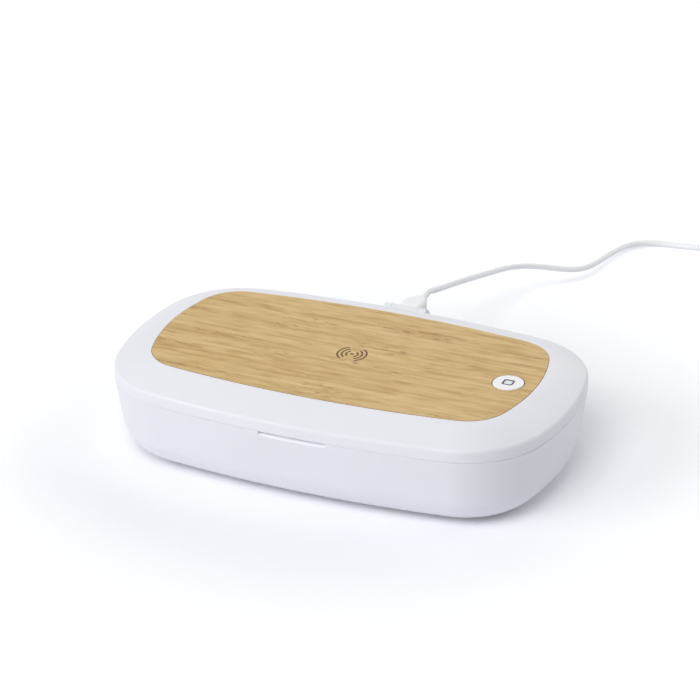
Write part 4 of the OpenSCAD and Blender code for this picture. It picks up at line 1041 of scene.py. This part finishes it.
def board_finish():
    """Green solder mask with copper tracks just showing under it."""
    material, tree = finish("circuit_board", (30, 92, 58), 0.35)
    tracks = add(tree, "TexBrick", {
        "Vector": own_place(tree), "Scale": 220.0, "Color1": shade(30, 92, 58),
        "Color2": shade(26, 84, 52), "Mortar": shade(58, 128, 78), "Mortar Size": 0.05})
    link(tree, tracks.outputs["Color"])
    bump(tree, tracks.outputs["Fac"], 0.03 * MM)
    return material


def glass_finish():
    """Clear quartz glass, a little violet in its depth."""
    material, tree = finish("lamp_glass", (232, 230, 244), 0.04, IOR=1.46,
                            Transmission_Weight=0.9)
    bump(tree, grain(tree, 900), 0.002 * MM)
    return material


board, glass = board_finish(), glass_finish()
for material, edge, names in (
        (rubber, 0, ("base_feet",)),
        (steel, 0, ("base_screws", "lid_screws", "hinge_pins")),
        (nickel, 0.15 * MM, ("base_magnets", "lid_magnets", "sensor_magnet")),
        (plug_steel, 0, ("usb_socket",)),
        (plug_steel, 0.1 * MM, ("cord_plug_shell", "charger_plug_shell")),
        (board, 0, ("power_board", "control_board", "base_lamp_boards", "lid_lamp_boards")),
        (ceramic, 0.1 * MM, ("base_lamp_chips", "lid_lamp_chips")),
        (glass, 0, ("base_lamp_windows", "lid_lamp_windows")),
        (ferrite, 0.05 * MM, ("ferrite_sheet",)),
        (black, 0.15 * MM, ("push_switch",)),
        (black, 0.1 * MM, ("socket_lead", "lid_sensor", "switch_plunger"))):
    for name in names:
        finish_node(name, material, edge)
print("finishes set on the small parts")

# %% [markdown]
# ## Floor and light
#
# White on white needs even light, or the edges vanish. Six large soft lamps stand round
# the box, strongest from the left and the front, and the world fills the rest faintly.
# The floor is white where nothing shades it: for the camera and in reflections it has a
# small glow of its own. The glow is least near the box, which keeps the box's cast shadow and
# paints a soft shade round it, and more farther out, so that the floor behind it stays white.

# %% Floor
WHITE = (1, 1, 1, 1)
FLOOR_HALF = 6
# The near glow is weaker within 0.12 m of the middle of the box and full from 0.205 m out: a
# painted shade round the box.
FLOOR_GLOW_AND_PAINTED_SHADE, PAINTED_SHADE_REACH = (0.1, 0.24), (0.12, 0.205)
FLOOR_FAR, FLOOR_FAR_REACH = (0, 1), (1, 4)


def seen(tree):
    """1 where a ray comes from the camera, a reflection or a clear piece, else 0."""
    ray = add(tree, "LightPath").outputs
    return maths(tree, "MAXIMUM", ray["Is Camera Ray"],
                 maths(tree, "MAXIMUM", ray["Is Glossy Ray"], ray["Is Transmission Ray"]))


floor_mesh = bpy.data.meshes.new("floor")
floor_mesh.from_pydata([(FLOOR_HALF * x, FLOOR_HALF * y, 0)
                        for x, y in ((-1, -1), (1, -1), (1, 1), (-1, 1))], [], [(0, 1, 2, 3)])
floor = in_scene("floor", floor_mesh)
floor_material, tree = finish("pale_floor", (249, 250, 255), 0.9)
away = add(tree, "VectorMath", {0: own_place(tree)}, operation="LENGTH").outputs["Value"]
# Less glow near the box paints a soft shade round it; the far glow keeps the distant floor white.
own = maths(tree, "ADD", spread(tree, away, *FLOOR_GLOW_AND_PAINTED_SHADE, *PAINTED_SHADE_REACH),
            spread(tree, away, *FLOOR_FAR, *FLOOR_FAR_REACH))
strength = maths(tree, "MULTIPLY", seen(tree), own)
glow = add(tree, "Emission", {"Color": WHITE, "Strength": strength})
both = add(tree, "AddShader", {0: tree.nodes[SURFACE].outputs[0], 1: glow.outputs[0]})
tree.links.new(both.outputs[0], tree.nodes["Material Output"].inputs[0])
floor.data.materials.append(floor_material)

# %% World and lamps
WORLD_FILL, LAMP_SIZE = 0.06, 2.4
world = bpy.data.worlds.new("studio")
SCENE.world = world
world.use_nodes = True
tree = world.node_tree
fill = tree.nodes["Background"]
fill.inputs["Color"].default_value = WHITE
fill.inputs["Strength"].default_value = WORLD_FILL
white = add(tree, "Background", {"Color": WHITE, "Strength": 1.0})
both = add(tree, "MixShader", {0: seen(tree), 1: fill.outputs[0], 2: white.outputs[0]})
tree.links.new(both.outputs[0], tree.nodes["World Output"].inputs[0])


def lamp(name, place, level):
    """A square soft lamp at place, aimed at the box; level is how much it adds to white."""
    data = bpy.data.lights.new(name, "AREA")
    data.size = LAMP_SIZE
    away = Vector(place)
    data.energy = level * math.pi**2 * away.length_squared
    obj = in_scene(name, data)
    obj.matrix_world = Matrix.Translation(away) @ away.to_track_quat("Z", "Y").to_matrix().to_4x4()


for name, place, level in (
        ("behind_left", (-1.8, 1.4, 3), 0.1), ("left", (-2.6, -2.6, 1.8), 0.37),
        ("top", (0, 0, 4), 0.065), ("back", (0, 3.2, 2), 0.125),
        ("right", (2.4, 2.4, 2), 0.215), ("front", (0, -2.4, 3.4), 0.47)):
    lamp(name, place, level)
print("world and six soft lamps")
